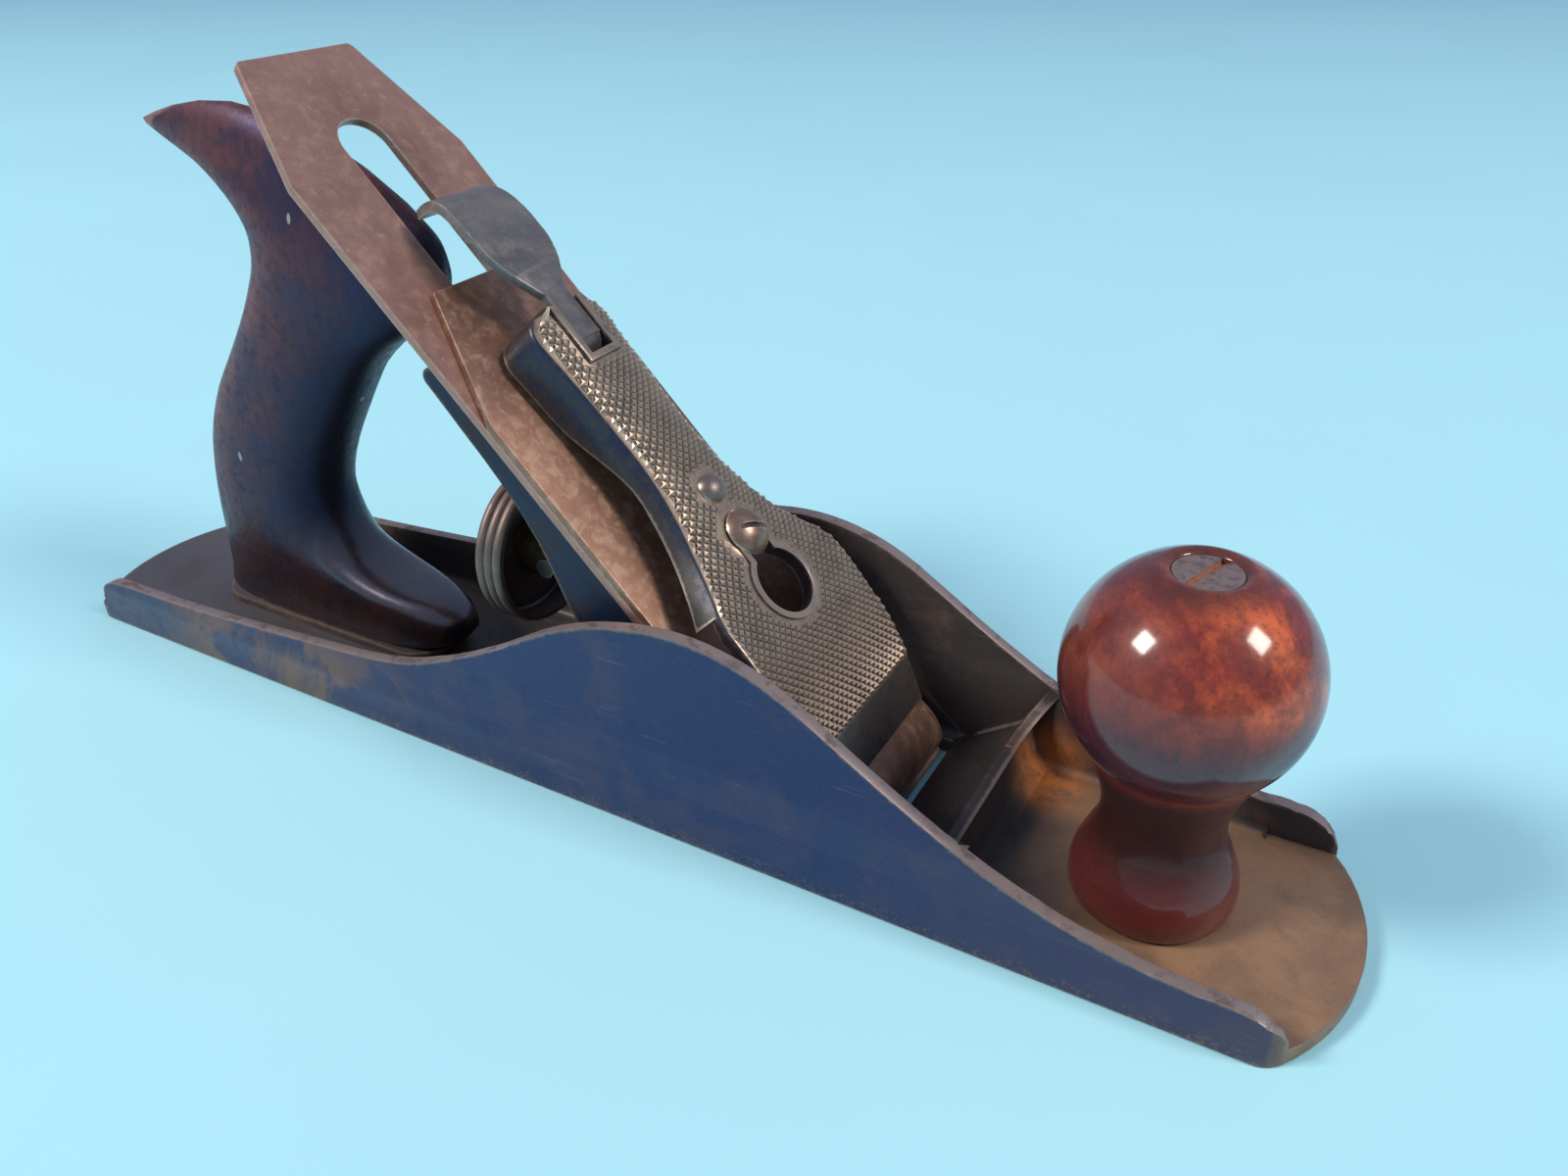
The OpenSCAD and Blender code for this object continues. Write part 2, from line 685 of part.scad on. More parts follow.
function cap_half(s) = soft_min(cap_wide(s), waist_arc(s)) - corner_loss(s);
function crown_at(s) = crown * ease(s, 56, 78);
function flange_foot(s) = 9.5 - 5.6 * ease(s, 92, 118);

// Closed ring of [y, h] points round the plate at s
function plate_ring(s) = let (w = cap_half(s), t = cap_top(s), u = cap_under(s), e = 0.6) concat(
    [[-w, u], [-w, t - e - crown_at(s)]],
    [for (i = [0 : 8]) let (c = -1 + i / 4) [c * (w - e), t - crown_at(s) * abs(c) ^ 2.4]],
    [[w, t - e - crown_at(s)], [w, u]]);
// The same with the side flanges, hollow underneath
function neck_ring(s) = let (w = cap_half(s), t = cap_top(s), u = cap_under(s), e = 0.6, f = flange_foot(s),
    o = w + flange_flare) concat(
    [[-o, f], [-w, t - e - crown_at(s)]],
    [for (i = [0 : 8]) let (c = -1 + i / 4) [c * (w - e), t - crown_at(s) * abs(c) ^ 2.4]],
    [[w, t - e - crown_at(s)], [o, f], [o - cap_flange, f], [w - cap_flange, u - 1], [w - cap_flange - 1, u],
        [-w + cap_flange + 1, u], [-w + cap_flange, u - 1], [-o + cap_flange, f]]);

// n equal steps from a up to b, b left out
function steps(a, b, n) = [for (i = [0 : n - 1]) a + (b - a) * i / n];

// Skin through rings of points, one ring to each station along the first axis
module loft(stations, rings) {
    n = len(rings[0]);
    last = (len(stations) - 1) * n;
    polyhedron(
        [for (i = [0 : len(stations) - 1]) for (p = rings[i]) [stations[i], p[0], p[1]]],
        concat(
            [for (i = [0 : len(stations) - 2]) for (j = [0 : n - 1])
                [i * n + j, i * n + (j + 1) % n, (i + 1) * n + (j + 1) % n, (i + 1) * n + j]],
            [[for (j = [n - 1 : -1 : 0]) j], [for (j = [0 : n - 1]) last + j]]),
        convexity = 6);
}

// Keyhole in plan, grown by g
module keyhole(g = 0) {
    slot_shape(keyhole_s, hook_s, cap_screw_shank / 2 + 0.7 + g);
    translate([keyhole_s, 0]) circle(keyhole_d / 2 + g);
}

// Cam lever's place in the cap
recess_half = strap_width / 2 + slide_gap;
recess_s = cap_end - 13.7;
frame_half = recess_half + 1.7;
frame_lift = 0.8;
lever_top = cap_height + 0.1;
lever_pin_d = 3.6;
lever_pin_h = cap_height - 5.3;
heel_r = lever_top - lever_pin_h;
lever_pin_s = recess_s + heel_r + 0.4;
lever_lug = 3.4;

// Upright pin line across the bed at [s, h]
module across(s, h) {
    on_bed(s, h) rotate([90, 0, 0]) children();
}

module lever_cap() {
    plate_stations = concat(steps(lip_s, ridge_s, 5), steps(ridge_s, flange_s, 10), [flange_s]);
    neck_stations = concat(steps(flange_s, cap_end - cap_corner, 21), steps(cap_end - cap_corner, cap_end, 6),
        [cap_end]);
    color("#7d7263") difference() {
        union() {
            on_bed() loft(plate_stations, [for (s = plate_stations) plate_ring(s)]);
            on_bed() loft(neck_stations, [for (s = neck_stations) neck_ring(s)]);
            // Raised rim round the keyhole, and the frame round the lever's recess
            on_bed(0, cap_height - cap_plate + 0.5) linear_extrude(cap_plate - 0.5 + rim_lift) keyhole(1.5);
            on_bed(recess_s - 1.6, cap_height - cap_plate) translate([0, -frame_half, 0])
                cube([cap_end + 0.8 - recess_s, 2 * frame_half, cap_plate + frame_lift]);
            for (m = [-1, 1]) across(lever_pin_s, lever_pin_h)
                translate([0, 0, m * (recess_half + lever_lug / 2)]) {
                    cylinder(h = lever_lug, r = 3.6, center = true);
                    translate([-3.6, 0, -lever_lug / 2]) cube([7.2, cap_height - lever_pin_h - 1, lever_lug]);
                }
        }
        on_bed(0, -cut) linear_extrude(cap_height + 3 * cut) keyhole();
        on_bed(spring_rivet_s, 0) cylinder(h = cap_height + cut, r = rivet_d / 2 + fit);
        on_bed(recess_s, -cut) translate([0, -recess_half, 0])
            cube([cap_end + 3 * cut - recess_s, 2 * recess_half, cap_height + 4 * cut]);
        across(lever_pin_s, lever_pin_h)
            cylinder(h = 2 * (recess_half + lever_lug) + cut, r = lever_pin_d / 2 + fit, center = true);
    }
}

module lever_cap_screw() {
    seat = cap_height + rim_lift;
    color("#7a4a3a") on_bed(hook_s) {
        translate([0, 0, bed_h - frog_plate - 8]) cylinder(h = seat + frog_plate + 8 - bed_h + fit, r = cap_screw_shank / 2);
        translate([0, 0, seat]) difference() {
            domed_head(cap_screw_head, 3.4);
            rotate(62) translate([-cap_screw_head, -0.6, 2.2]) cube([2 * cap_screw_head, 1.2, 3]);
        }
    }
}

// Sheet of thickness t under a smooth curve of [s, h] points
function normals(p) = [for (i = [0 : len(p) - 1])
    let (d = p[min(i + 1, len(p) - 1)] - p[max(i - 1, 0)]) [-d[1], d[0]] / norm(d)];
function sheet(p, t) = let (n = normals(p))
    concat(p, [for (i = [len(p) - 1 : -1 : 0]) p[i] - t * n[i]]);
// A side view drawn as [s, h], made w wide about the middle plane
module bed_side(w) {
    on_bed() rotate([90, 0, 0]) linear_extrude(w, center = true) children();
}

spring_t = 1;
spring_rivet_s = hook_s + 12;
rivet_d = 4;
module cap_spring() {
    top = cap_height - cap_plate - 0.05;
    rest = cap_iron_thickness + slide_gap + spring_t;
    color("darkslategray") difference() {
        bed_side(2 * (cap_waist - cap_flange) - 3) polygon(sheet(curve([
            [spring_rivet_s - 5.5, top],
            [spring_rivet_s, top],
            [spring_rivet_s + 6, top - 0.3],
            [spring_rivet_s + 17, top - 3.6],
            [spring_rivet_s + 28, rest + 2.4],
            [spring_rivet_s + 37, rest + 0.3],
            [lever_pin_s, rest],
            [lever_pin_s + 6, rest + 0.2]], 5), spring_t));
        on_bed(spring_rivet_s) cylinder(h = cap_height, r = rivet_d / 2 + fit);
    }
}

module spring_rivet() {
    foot = cap_height - cap_plate - 0.05 - spring_t;
    color("slategray") on_bed(spring_rivet_s) {
        translate([0, 0, foot - 1]) cylinder(h = cap_height - foot + 1 + fit, r = rivet_d / 2);
        translate([0, 0, foot - 1.05]) cylinder(h = 1, r = 3);
        translate([0, 0, cap_height]) domed_head(7.2, 2.6);
    }
}

// Bent sheet: a strap in the cap's recess, two cam ears on the pin, and a curled thumb pad
pad_s = cap_end + 1.8;
pad_reach = 32;
pad_end = pad_s + pad_reach;
cam_reach = lever_pin_h - cap_iron_thickness - 2 * slide_gap - spring_t;
module cam_lever() {
    half = strap_width / 2;
    pad = pad_width / 2;
    color("#3d434c") difference() {
        union() {
            intersection() {
                bed_side(pad_width + 2 * cut) polygon(sheet(curve([
                    [lever_pin_s - 2, lever_top],
                    [lever_pin_s + 4, lever_top],
                    [pad_s, lever_top],
                    [pad_s + 6, lever_top + 0.1],
                    [pad_s + 13, lever_top - 0.1],
                    [pad_s + 20, lever_top - 0.5],
                    [pad_s + 26, lever_top - 1.8],
                    [pad_s + 29.6, lever_top - 4.6],
                    [pad_s + 31.3, lever_top - 8],
                    [pad_s + 31.8, lever_top - 11]], 4), lever_sheet));
                on_bed(0, 0) linear_extrude(lever_top + 4 * cut) polygon(concat(
                    [[recess_s, -half], [pad_s - 1, -half]],
                    curve([[pad_s, -half], [pad_s + 3.4, -half - 2.2], [pad_s + 7, -pad + 2], [pad_s + 11, -pad + 0.5],
                        [pad_s + 15, -pad], [pad_s + 22, -pad + 0.1], [pad_s + 28, -pad + 1.2], [pad_end, -pad + 3]], 4),
                    curve([[pad_end, pad - 3], [pad_s + 28, pad - 1.2], [pad_s + 22, pad - 0.1], [pad_s + 15, pad],
                        [pad_s + 11, pad - 0.5], [pad_s + 7, pad - 2], [pad_s + 3.4, half + 2.2], [pad_s, half]], 4),
                    [[pad_s - 1, half], [recess_s, half]]));
            }
            // Round heel of the strap, and the cam ears below it
            across(lever_pin_s, lever_pin_h) intersection() {
                difference() {
                    cylinder(h = strap_width, r = heel_r, center = true);
                    cylinder(h = strap_width + cut, r = heel_r - lever_sheet, center = true);
                }
                translate([-heel_r, 0, -half]) cube([heel_r, heel_r, strap_width]);
            }
            for (m = [-1, 1]) across(lever_pin_s, lever_pin_h)
                translate([0, 0, m * (half - lever_sheet * 0.4)]) {
                    cylinder(h = lever_sheet * 0.8, r = heel_r, center = true);
                    translate([1, -cam_reach + 3.2, 0]) cylinder(h = lever_sheet * 0.8, r = 3.2, center = true);
                    translate([-2.2, -cam_reach + 3.2, -lever_sheet * 0.4])
                        cube([6.4, cam_reach - 3.2, lever_sheet * 0.8]);
                }
        }
        across(lever_pin_s, lever_pin_h) cylinder(h = 2 * strap_width, r = lever_pin_d / 2 + fit, center = true);
    }
}

module lever_pin() {
    color("gray") across(lever_pin_s, lever_pin_h)
        cylinder(h = 2 * (recess_half + lever_lug), r = lever_pin_d / 2, center = true);
}

// Tote: rings from the foot to the horn, each [back x, back z, front x, front z, half thickness,
// squareness, taper to the back, crown], measured from the boss's back end and top
tote_half = tote_thickness / 2;
tote_rings = [
    [1, 0, 82.5, 0, tote_half - 1.2, 3.4, 0, 0],
    [0.7, 3.2, 89, 2.7, tote_half - 0.5, 3.2, 0, 0],
    [1.9, 8.2, 91.1, 6.2, tote_half - 0.2, 3, 0, 0],
    [2.5, 14.2, 89.9, 10.2, tote_half - 0.1, 2.9, 0, 0],
    [3, 20.2, 84.5, 13.8, tote_half - 0.1, 2.8, 0, 0],
    [3.9, 26.2, 74, 16.2, tote_half, 2.7, 0, 0],
    [5.3, 33.2, 63.7, 19.4, tote_half, 2.7, 0, 0],
    [7.3, 41.2, 57.2, 23.8, tote_half, 2.7, 0, 0],
    [10.4, 50.7, 53.2, 31.2, tote_half, 2.7, 0, 0],
    [14.3, 58.7, 52.1, 39.2, tote_half, 2.7, 0, 0],
    [19.8, 67.5, 54.6, 47.2, tote_half, 2.7, 0, 0],
    [26, 75.2, 59.2, 55.7, tote_half, 2.7, 0, 0],
    [31.9, 82.7, 64.1, 63.2, tote_half, 2.7, 0, 0],
    [37.1, 89.7, 69.4, 71, tote_half, 2.7, 0, 0],
    [41.2, 96.5, 75, 78, tote_half - 0.2, 2.7, 0, 0],
    [43.7, 101.7, 81.9, 84, tote_half - 0.4, 2.7, 0, 0.2],
    [44.5, 106.5, 90, 89.2, tote_half - 0.5, 2.7, 0, 0.5],
    [43.6, 110.8, 96.5, 94.2, tote_half - 0.6, 2.7, 0.02, 0.9],
    [39.9, 115.6, 100.2, 98.7, tote_half - 0.7, 2.7, 0.06, 1.8],
    [33.7, 120.3, 101.7, 102.5, tote_half - 0.8, 2.7, 0.13, 3],
    [26.5, 123.8, 101.9, 105.7, tote_half - 0.9, 2.6, 0.22, 4.3],
    [19.2, 126.7, 101.3, 108.2, tote_half - 1, 2.6, 0.32, 5.6],
    [13, 129.1, 100.1, 110.2, tote_half - 1.3, 2.5, 0.4, 7],
    [10.7, 130.4, 99, 111.6, tote_half - 2.6, 2.4, 0.42, 9.3],
    [10.1, 131.1, 98, 112.6, tote_half - 5, 2.3, 0.42, 11.5],
    [9.9, 131.5, 97.2, 113.3, tote_half - 8, 2.2, 0.42, 13.2],
    [9.9, 131.7, 96.7, 113.6, tote_half - 10.4, 2.2, 0.4, 13.8]];
tote_sides = 24;
function signed_power(v, e) = sign(v) * abs(v) ^ e;
function tote_point(r, j) = let (
    a = 360 * j / tote_sides,
    c = signed_power(cos(a), 2 / r[5]),
    y = signed_power(sin(a), 2 / r[5]) * r[4] * (1 + r[6] * (c - 1)),
    d = [r[2] - r[0], r[3] - r[1]],
    up = [-d[1], d[0]] / norm(d))
    [tote_heel + (r[0] + r[2]) / 2 + c * d[0] / 2 + up[0] * r[7] * (1 - c * c), y,
        boss_top + (r[1] + r[3]) / 2 + c * d[1] / 2 + up[1] * r[7] * (1 - c * c)];

module tote_form() {
    rings = curve(tote_rings, 2);
    n = tote_sides;
    last = (len(rings) - 1) * n;
    // The foot and the top are strips from side to side
    polyhedron(
        [for (r = rings) for (j = [0 : n - 1]) tote_point(r, j)],
        concat(
            [for (i = [0 : len(rings) - 2]) for (j = [0 : n - 1])
                [i * n + j, (i + 1) * n + j, (i + 1) * n + (j + 1) % n, i * n + (j + 1) % n]],
            [for (j = [1 : n / 2 - 2]) [j, j + 1, n - j - 1, n - j]],
            [[0, 1, n - 1], [n / 2 - 1, n / 2, n / 2 + 1]],
            [for (j = [1 : n / 2 - 2]) [last + n - j, last + n - j - 1, last + j + 1, last + j]],
            [[last + n - 1, last + 1, last], [last + n / 2 + 1, last + n / 2, last + n / 2 - 1]]),
        convexity = 4);
}

nut_head = 2.6;
nut_sleeve = 14;
nut_sleeve_r = rod_d / 2 + 1.4;
module tote() {
    color("#3a2a26") difference() {
        tote_form();
        tote_axis() {
            translate([0, 0, -rod_d]) cylinder(h = rod_length + rod_d, r = rod_d / 2 + fit);
            translate([0, 0, rod_length - nut_sleeve - 1]) cylinder(h = nut_sleeve + 2, r = nut_sleeve_r + fit);
            translate([0, 0, rod_length]) cylinder(h = nut_sleeve, r = nut_d / 2 + fit);
        }
    }
}

module tote_rod() {
    color("gray") tote_axis() translate([0, 0, 0.5]) cylinder(h = rod_length - 3, r = rod_d / 2);
}

// Round slotted nut: a flat head on a sleeve bored from below
module round_nut(angle) {
    difference() {
        union() {
            slotted_head(nut_d, nut_head, 2, angle);
            translate([0, 0, -nut_sleeve]) cylinder(h = nut_sleeve + nut_head / 2, r = nut_sleeve_r);
        }
        translate([0, 0, -nut_sleeve - cut]) cylinder(h = nut_sleeve, r = rod_d / 2 + fit);
    }
}

module tote_nut() {
    color("dimgray") tote_axis() translate([0, 0, rod_length]) round_nut(20);
}

// Turned knob: base bead, neck and ball
ball_r = knob_ball / 2;
ball_z = knob_top - 23.2;
nut_sink = 1.3;
nut_seat = knob_top - nut_sink - nut_head;
knob_foot = sole_thickness + 0.6;
ball_low = -44;
ball_high = 73.3;
neck_r = knob_neck / 2;
module knob() {
    bead = knob_base / 2;
    neck_z = knob_foot + 22.3;
    color("#6a2618") translate([knob_x, 0, 0]) difference() {
        rotate_extrude($fn = 96) polygon(concat(
            [[0, knob_foot]],
            curve([
                [bead - 1.6, knob_foot],
                [bead - 0.5, knob_foot + 1.4],
                [bead, knob_foot + 5],
                [bead - 0.7, knob_foot + 9],
                [neck_r + 2.2, knob_foot + 13.4],
                [neck_r + 0.4, neck_z - 4.4],
                [neck_r, neck_z],
                [neck_r + 0.6, neck_z + 4.2],
                [neck_r + 2.2, neck_z + 9],
                [ball_r * cos(ball_low), ball_z + ball_r * sin(ball_low)]], 4),
            [for (a = [ball_low + 6 : 6.65 : ball_high - 6]) [ball_r * cos(a), ball_z + ball_r * sin(a)]],
            [[ball_r * cos(ball_high), ball_z + ball_r * sin(ball_high)],
                [0, ball_z + ball_r * sin(ball_high)]]));
        cylinder(h = knob_top + cut, r = rod_d / 2 + fit);
        translate([0, 0, nut_seat - nut_sleeve - 1]) cylinder(h = nut_sleeve + 3, r = nut_sleeve_r + fit);
        translate([0, 0, nut_seat]) cylinder(h = nut_head + nut_sink + cut, r = nut_d / 2 + fit);
    }
}

module knob_rod() {
    color("gray") translate([knob_x, 0, 1.2]) cylinder(h = nut_seat - 4.2, r = rod_d / 2);
}

module knob_nut() {
    color("dimgray") translate([knob_x, 0, nut_seat]) round_nut(71);
}

body();
frog();
frog_screws();
frog_washers();
adjusting_stud();
wheel_bush();
adjusting_wheel();
yoke_lever();
yoke_pin();
iron();
cap_iron();
cap_iron_screw();
lever_cap();
lever_cap_screw();
cap_spring();
spring_rivet();
cam_lever();
lever_pin();
tote();
tote_rod();
tote_nut();
knob();
knob_rod();
knob_nut();
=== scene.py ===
"""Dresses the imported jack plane.

Turned knob, checkered lever cap, worn castings, stained tote, lights and camera.
"""

import json
import math

import bpy
from mathutils import Matrix, Vector

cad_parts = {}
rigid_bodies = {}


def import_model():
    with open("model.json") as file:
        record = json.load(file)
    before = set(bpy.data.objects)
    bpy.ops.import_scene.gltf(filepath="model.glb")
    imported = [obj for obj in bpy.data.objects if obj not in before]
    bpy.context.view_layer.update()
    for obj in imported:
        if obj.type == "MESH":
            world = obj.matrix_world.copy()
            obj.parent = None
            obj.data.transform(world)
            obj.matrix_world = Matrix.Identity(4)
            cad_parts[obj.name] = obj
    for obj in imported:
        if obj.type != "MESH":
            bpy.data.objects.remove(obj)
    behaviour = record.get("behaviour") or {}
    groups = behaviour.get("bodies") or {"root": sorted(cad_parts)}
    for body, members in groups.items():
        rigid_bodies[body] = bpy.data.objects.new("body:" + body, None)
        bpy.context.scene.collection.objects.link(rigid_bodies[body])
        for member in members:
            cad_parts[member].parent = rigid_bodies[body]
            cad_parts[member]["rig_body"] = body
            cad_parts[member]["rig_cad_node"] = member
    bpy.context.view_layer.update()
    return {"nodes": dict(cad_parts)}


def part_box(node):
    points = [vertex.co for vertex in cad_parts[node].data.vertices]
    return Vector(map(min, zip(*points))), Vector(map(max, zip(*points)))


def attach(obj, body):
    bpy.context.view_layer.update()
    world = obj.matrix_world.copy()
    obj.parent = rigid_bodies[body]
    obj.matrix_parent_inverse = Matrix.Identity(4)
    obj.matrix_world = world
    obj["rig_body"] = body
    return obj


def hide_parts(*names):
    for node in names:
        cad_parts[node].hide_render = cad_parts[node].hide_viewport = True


bl_info = {
    "name": "Jack plane dressing",
    "version": (1, 0, 0),
    "blender": (4, 5, 0),
    "location": "View3D > Sidebar > Jack plane",
    "description": "Builds the pieces, finishes and stage of an old jack plane round its packed frame",
    "category": "Object",
}

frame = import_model()
MM = 0.001
TO_MM = 1000
SAME_POINT = 0.000004
FLAT_ANGLE = math.radians(0.4)

# The bed that the cutter, the frog and the lever cap are laid out on
BED_ANGLE = math.radians(46)
BED_X = 78.3
ALONG_BED = Vector((-math.cos(BED_ANGLE), 0, math.sin(BED_ANGLE)))
OFF_BED = Vector((math.sin(BED_ANGLE), 0, math.cos(BED_ANGLE)))
BED_TURN = Matrix((ALONG_BED, (0, -1, 0), OFF_BED)).transposed().to_4x4()

# Axes of the depth adjuster and of the knob, levels along the knob, and its nut, in millimetres
STUD_Z = 46.4
KNOB_X = 135.5
KNOB_TOP = 81.6
KNOB_FOOT = 3.8
NUT_SEAT = 77.7
NUT_RADIUS = 6.35

# Height of the lever cap off the bed, and its stations along the bed
CAP_HEIGHT = 16.5
CAP_RIDGE = 26.4
KEYHOLE = 59.9
CAP_SCREW = 73.3
RIVET = 85.3
CAP_WAIST = 101
CAP_END = 137

# Plan of the lever cap: half widths at the lip and the waist, what the lip tapers by and up to where,
# where the sweep to the waist starts and its radius, how flat the sides run on past the waist,
# the radius of the corners at the cam end, and how softly the lip runs into the sweep
CAP_WIDE = 24.6
CAP_NARROW = 10.6
CAP_TAPER = 0.8
TAPER_END = 52
SWEEP_START = 40
CAP_SWEEP = 65
CAP_FLATNESS = 650
CAP_CORNER = 7
CAP_MELT = 1.1

# Places where its face stays plain: round ones as [station, radius], straight ones as [from, to, half]
PLAIN_ROUND = ((KEYHOLE, 10.3), (CAP_SCREW, 7.6), (RIVET, 4.9))
PLAIN_STRAIGHT = ((KEYHOLE, CAP_SCREW, 6.6), (120.6, 140.0, 6.7))
FEWEST_PYRAMID_FACES = 5000

# Lamps, as directions from the plane, and the sky
KEY_WAY = (-0.57, -0.50, 0.65)
FILL_WAY = (0.74, 0.06, 0.67)
LAMP_AIM = (0.02, 0, 0.04)
LAMP_DISTANCE = 3.0
LAMP_SIZE = 0.79
LAMP_COLOUR = (1.0, 0.93, 0.84)
SKY_COLOUR = (0.52, 0.68, 1.0)

# The camera's place in metres, and what is right, up and back for it
CAMERA_PLACE = (0.163059, -0.199317, 0.191406)
CAMERA_RIGHT = (0.8719960, 0.4892339, -0.0165311)
CAMERA_UP = (-0.2405846, 0.4577324, 0.8559206)
CAMERA_BACK = (0.4263122, -0.7423822, 0.5168429)


def on_bed(s, h, y=0.0):
    """The point s up the bed, h off it and y across it, all in millimetres."""
    return (Vector((BED_X, y, 0)) + ALONG_BED * s + OFF_BED * h) * MM


# Sizes and colours that a user would change


class PlaneSizes(bpy.types.PropertyGroup):
    """Sizes of the modelled detail."""

    casting_round: bpy.props.FloatProperty(
        name="Casting edge round", description="Radius on the worn edges of the castings",
        default=0.0004, unit="LENGTH", subtype="DISTANCE")
    sheet_round: bpy.props.FloatProperty(
        name="Sheet edge round", description="Radius on the edges of the cutter, cap iron and cam lever",
        default=0.0002, unit="LENGTH", subtype="DISTANCE")
    checker_pitch: bpy.props.FloatProperty(
        name="Checkering pitch", description="Side of one pyramid of the lever cap's checkering",
        default=0.0016, unit="LENGTH", subtype="DISTANCE")
    checker_height: bpy.props.FloatProperty(
        name="Checkering height", description="Height of the pyramids over the lever cap's face",
        default=0.0007, unit="LENGTH", subtype="DISTANCE")
    thread_pitch: bpy.props.FloatProperty(
        name="Thread pitch", description="Distance between the ridges on the stud",
        default=0.00106, unit="LENGTH", subtype="DISTANCE")
    knob_ball: bpy.props.FloatProperty(
        name="Knob ball", description="Diameter of the knob's ball",
        default=0.0483, unit="LENGTH", subtype="DISTANCE")


class PlaneFinishes(bpy.types.PropertyGroup):
    """Colours of the finishes."""

    paint: bpy.props.FloatVectorProperty(
        name="Casting paint", description="Blue paint on the cheeks", subtype="COLOR",
        default=(0.007, 0.020, 0.092), min=0, max=1)
    patina: bpy.props.FloatVectorProperty(
        name="Brown patina", description="Colour of the worn iron", subtype="COLOR",
        default=(0.17, 0.088, 0.055), min=0, max=1)
    rust: bpy.props.FloatVectorProperty(
        name="Rust", description="Fresh rust in the corners", subtype="COLOR",
        default=(0.48, 0.155, 0.035), min=0, max=1)
    cutter: bpy.props.FloatVectorProperty(
        name="Cutter", description="Browned steel of the cutter", subtype="COLOR",
        default=(0.47, 0.255, 0.20), min=0, max=1)
    bronze: bpy.props.FloatVectorProperty(
        name="Lever cap", description="Bronze grey of the lever cap's face", subtype="COLOR",
        default=(0.46, 0.335, 0.25), min=0, max=1)
    blued: bpy.props.FloatVectorProperty(
        name="Blued steel", description="Colour of the cam lever", subtype="COLOR",
        default=(0.27, 0.235, 0.222), min=0, max=1)
    wood_red: bpy.props.FloatVectorProperty(
        name="Knob wood", description="Red of the knob's wood", subtype="COLOR",
        default=(0.28, 0.022, 0.010), min=0, max=1)
    wood_dark: bpy.props.FloatVectorProperty(
        name="Tote wood", description="Dark stain of the tote", subtype="COLOR",
        default=(0.014, 0.011, 0.014), min=0, max=1)


class PlaneStage(bpy.types.PropertyGroup):
    """Camera, lamps and floor."""

    lens: bpy.props.FloatProperty(
        name="Lens", description="Focal length of the camera", default=28.10, unit="CAMERA")
    floor: bpy.props.FloatVectorProperty(
        name="Floor", description="Colour of the pale paper under the plane", subtype="COLOR",
        default=(0.434, 0.80, 0.89), min=0, max=1)
    key_power: bpy.props.FloatProperty(
        name="Key lamp", description="Power of the lamp over the heel side", default=66.0, unit="POWER")
    fill_power: bpy.props.FloatProperty(
        name="Fill lamp", description="Power of the lamp over the toe side", default=46.0, unit="POWER")
    sky: bpy.props.FloatProperty(
        name="Sky", description="Strength of the even light from all round", default=0.44, min=0)


def sizes():
    """The sizes of the open scene."""
    return bpy.context.scene.plane_sizes


def finishes():
    """The finishes of the open scene."""
    return bpy.context.scene.plane_finishes


# Selecting and shaping


def clear_selection():
    """Leaves edit mode with nothing selected."""
    if bpy.context.mode != "OBJECT":
        bpy.ops.object.mode_set(mode="OBJECT")
    bpy.ops.object.select_all(action="DESELECT")


def pick(piece):
    """Makes a piece the only one selected, and the active one."""
    clear_selection()
    piece.select_set(True)
    bpy.context.view_layer.objects.active = piece


def edit(piece, chosen=True):
    """Opens a piece in edit mode with all of it selected, or nothing."""
    pick(piece)
    bpy.ops.object.mode_set(mode="EDIT")
    bpy.ops.mesh.select_mode(type="VERT")
    bpy.ops.mesh.select_all(action="SELECT" if chosen else "DESELECT")


def done():
    """Back to object mode."""
    bpy.ops.object.mode_set(mode="OBJECT")
    return bpy.context.view_layer.objects.active


def select_faces(piece, wanted):
    """Opens a piece with only the faces selected whose centre and normal pass the test."""
    edit(piece, chosen=False)
    bpy.ops.mesh.select_mode(type="FACE")
    bpy.ops.object.mode_set(mode="OBJECT")
    for face in piece.data.polygons:
        face.select = bool(wanted(face.center, face.normal))
    bpy.ops.object.mode_set(mode="EDIT")


def settle(piece):
    """Puts the piece's place and turn into its mesh, so that its object stands at the origin."""
    pick(piece)
    bpy.ops.object.transform_apply(location=True, rotation=True, scale=True)
    return piece


def modify(piece, kind, **settings):
    """Adds a modifier with its settings and applies it."""
    pick(piece)
    made = piece.modifiers.new(kind.title(), kind)
    for name, value in settings.items():
        setattr(made, name, value)
    bpy.ops.object.modifier_apply(modifier=made.name)
    return piece


def soften(piece, width, angle=32):
    """Rounds the sharp edges of a piece. Edges that run out in a sliver keep their own width."""
    return modify(piece, "BEVEL", width=width, segments=2, limit_method="ANGLE", offset_type="ABSOLUTE",
                  angle_limit=math.radians(angle), use_clamp_overlap=False, miter_outer="MITER_ARC")


def shade(piece, angle=28):
    """Smooth shading up to an angle between faces."""
    pick(piece)
    bpy.ops.object.shade_smooth_by_angle(angle=math.radians(angle))
    return piece


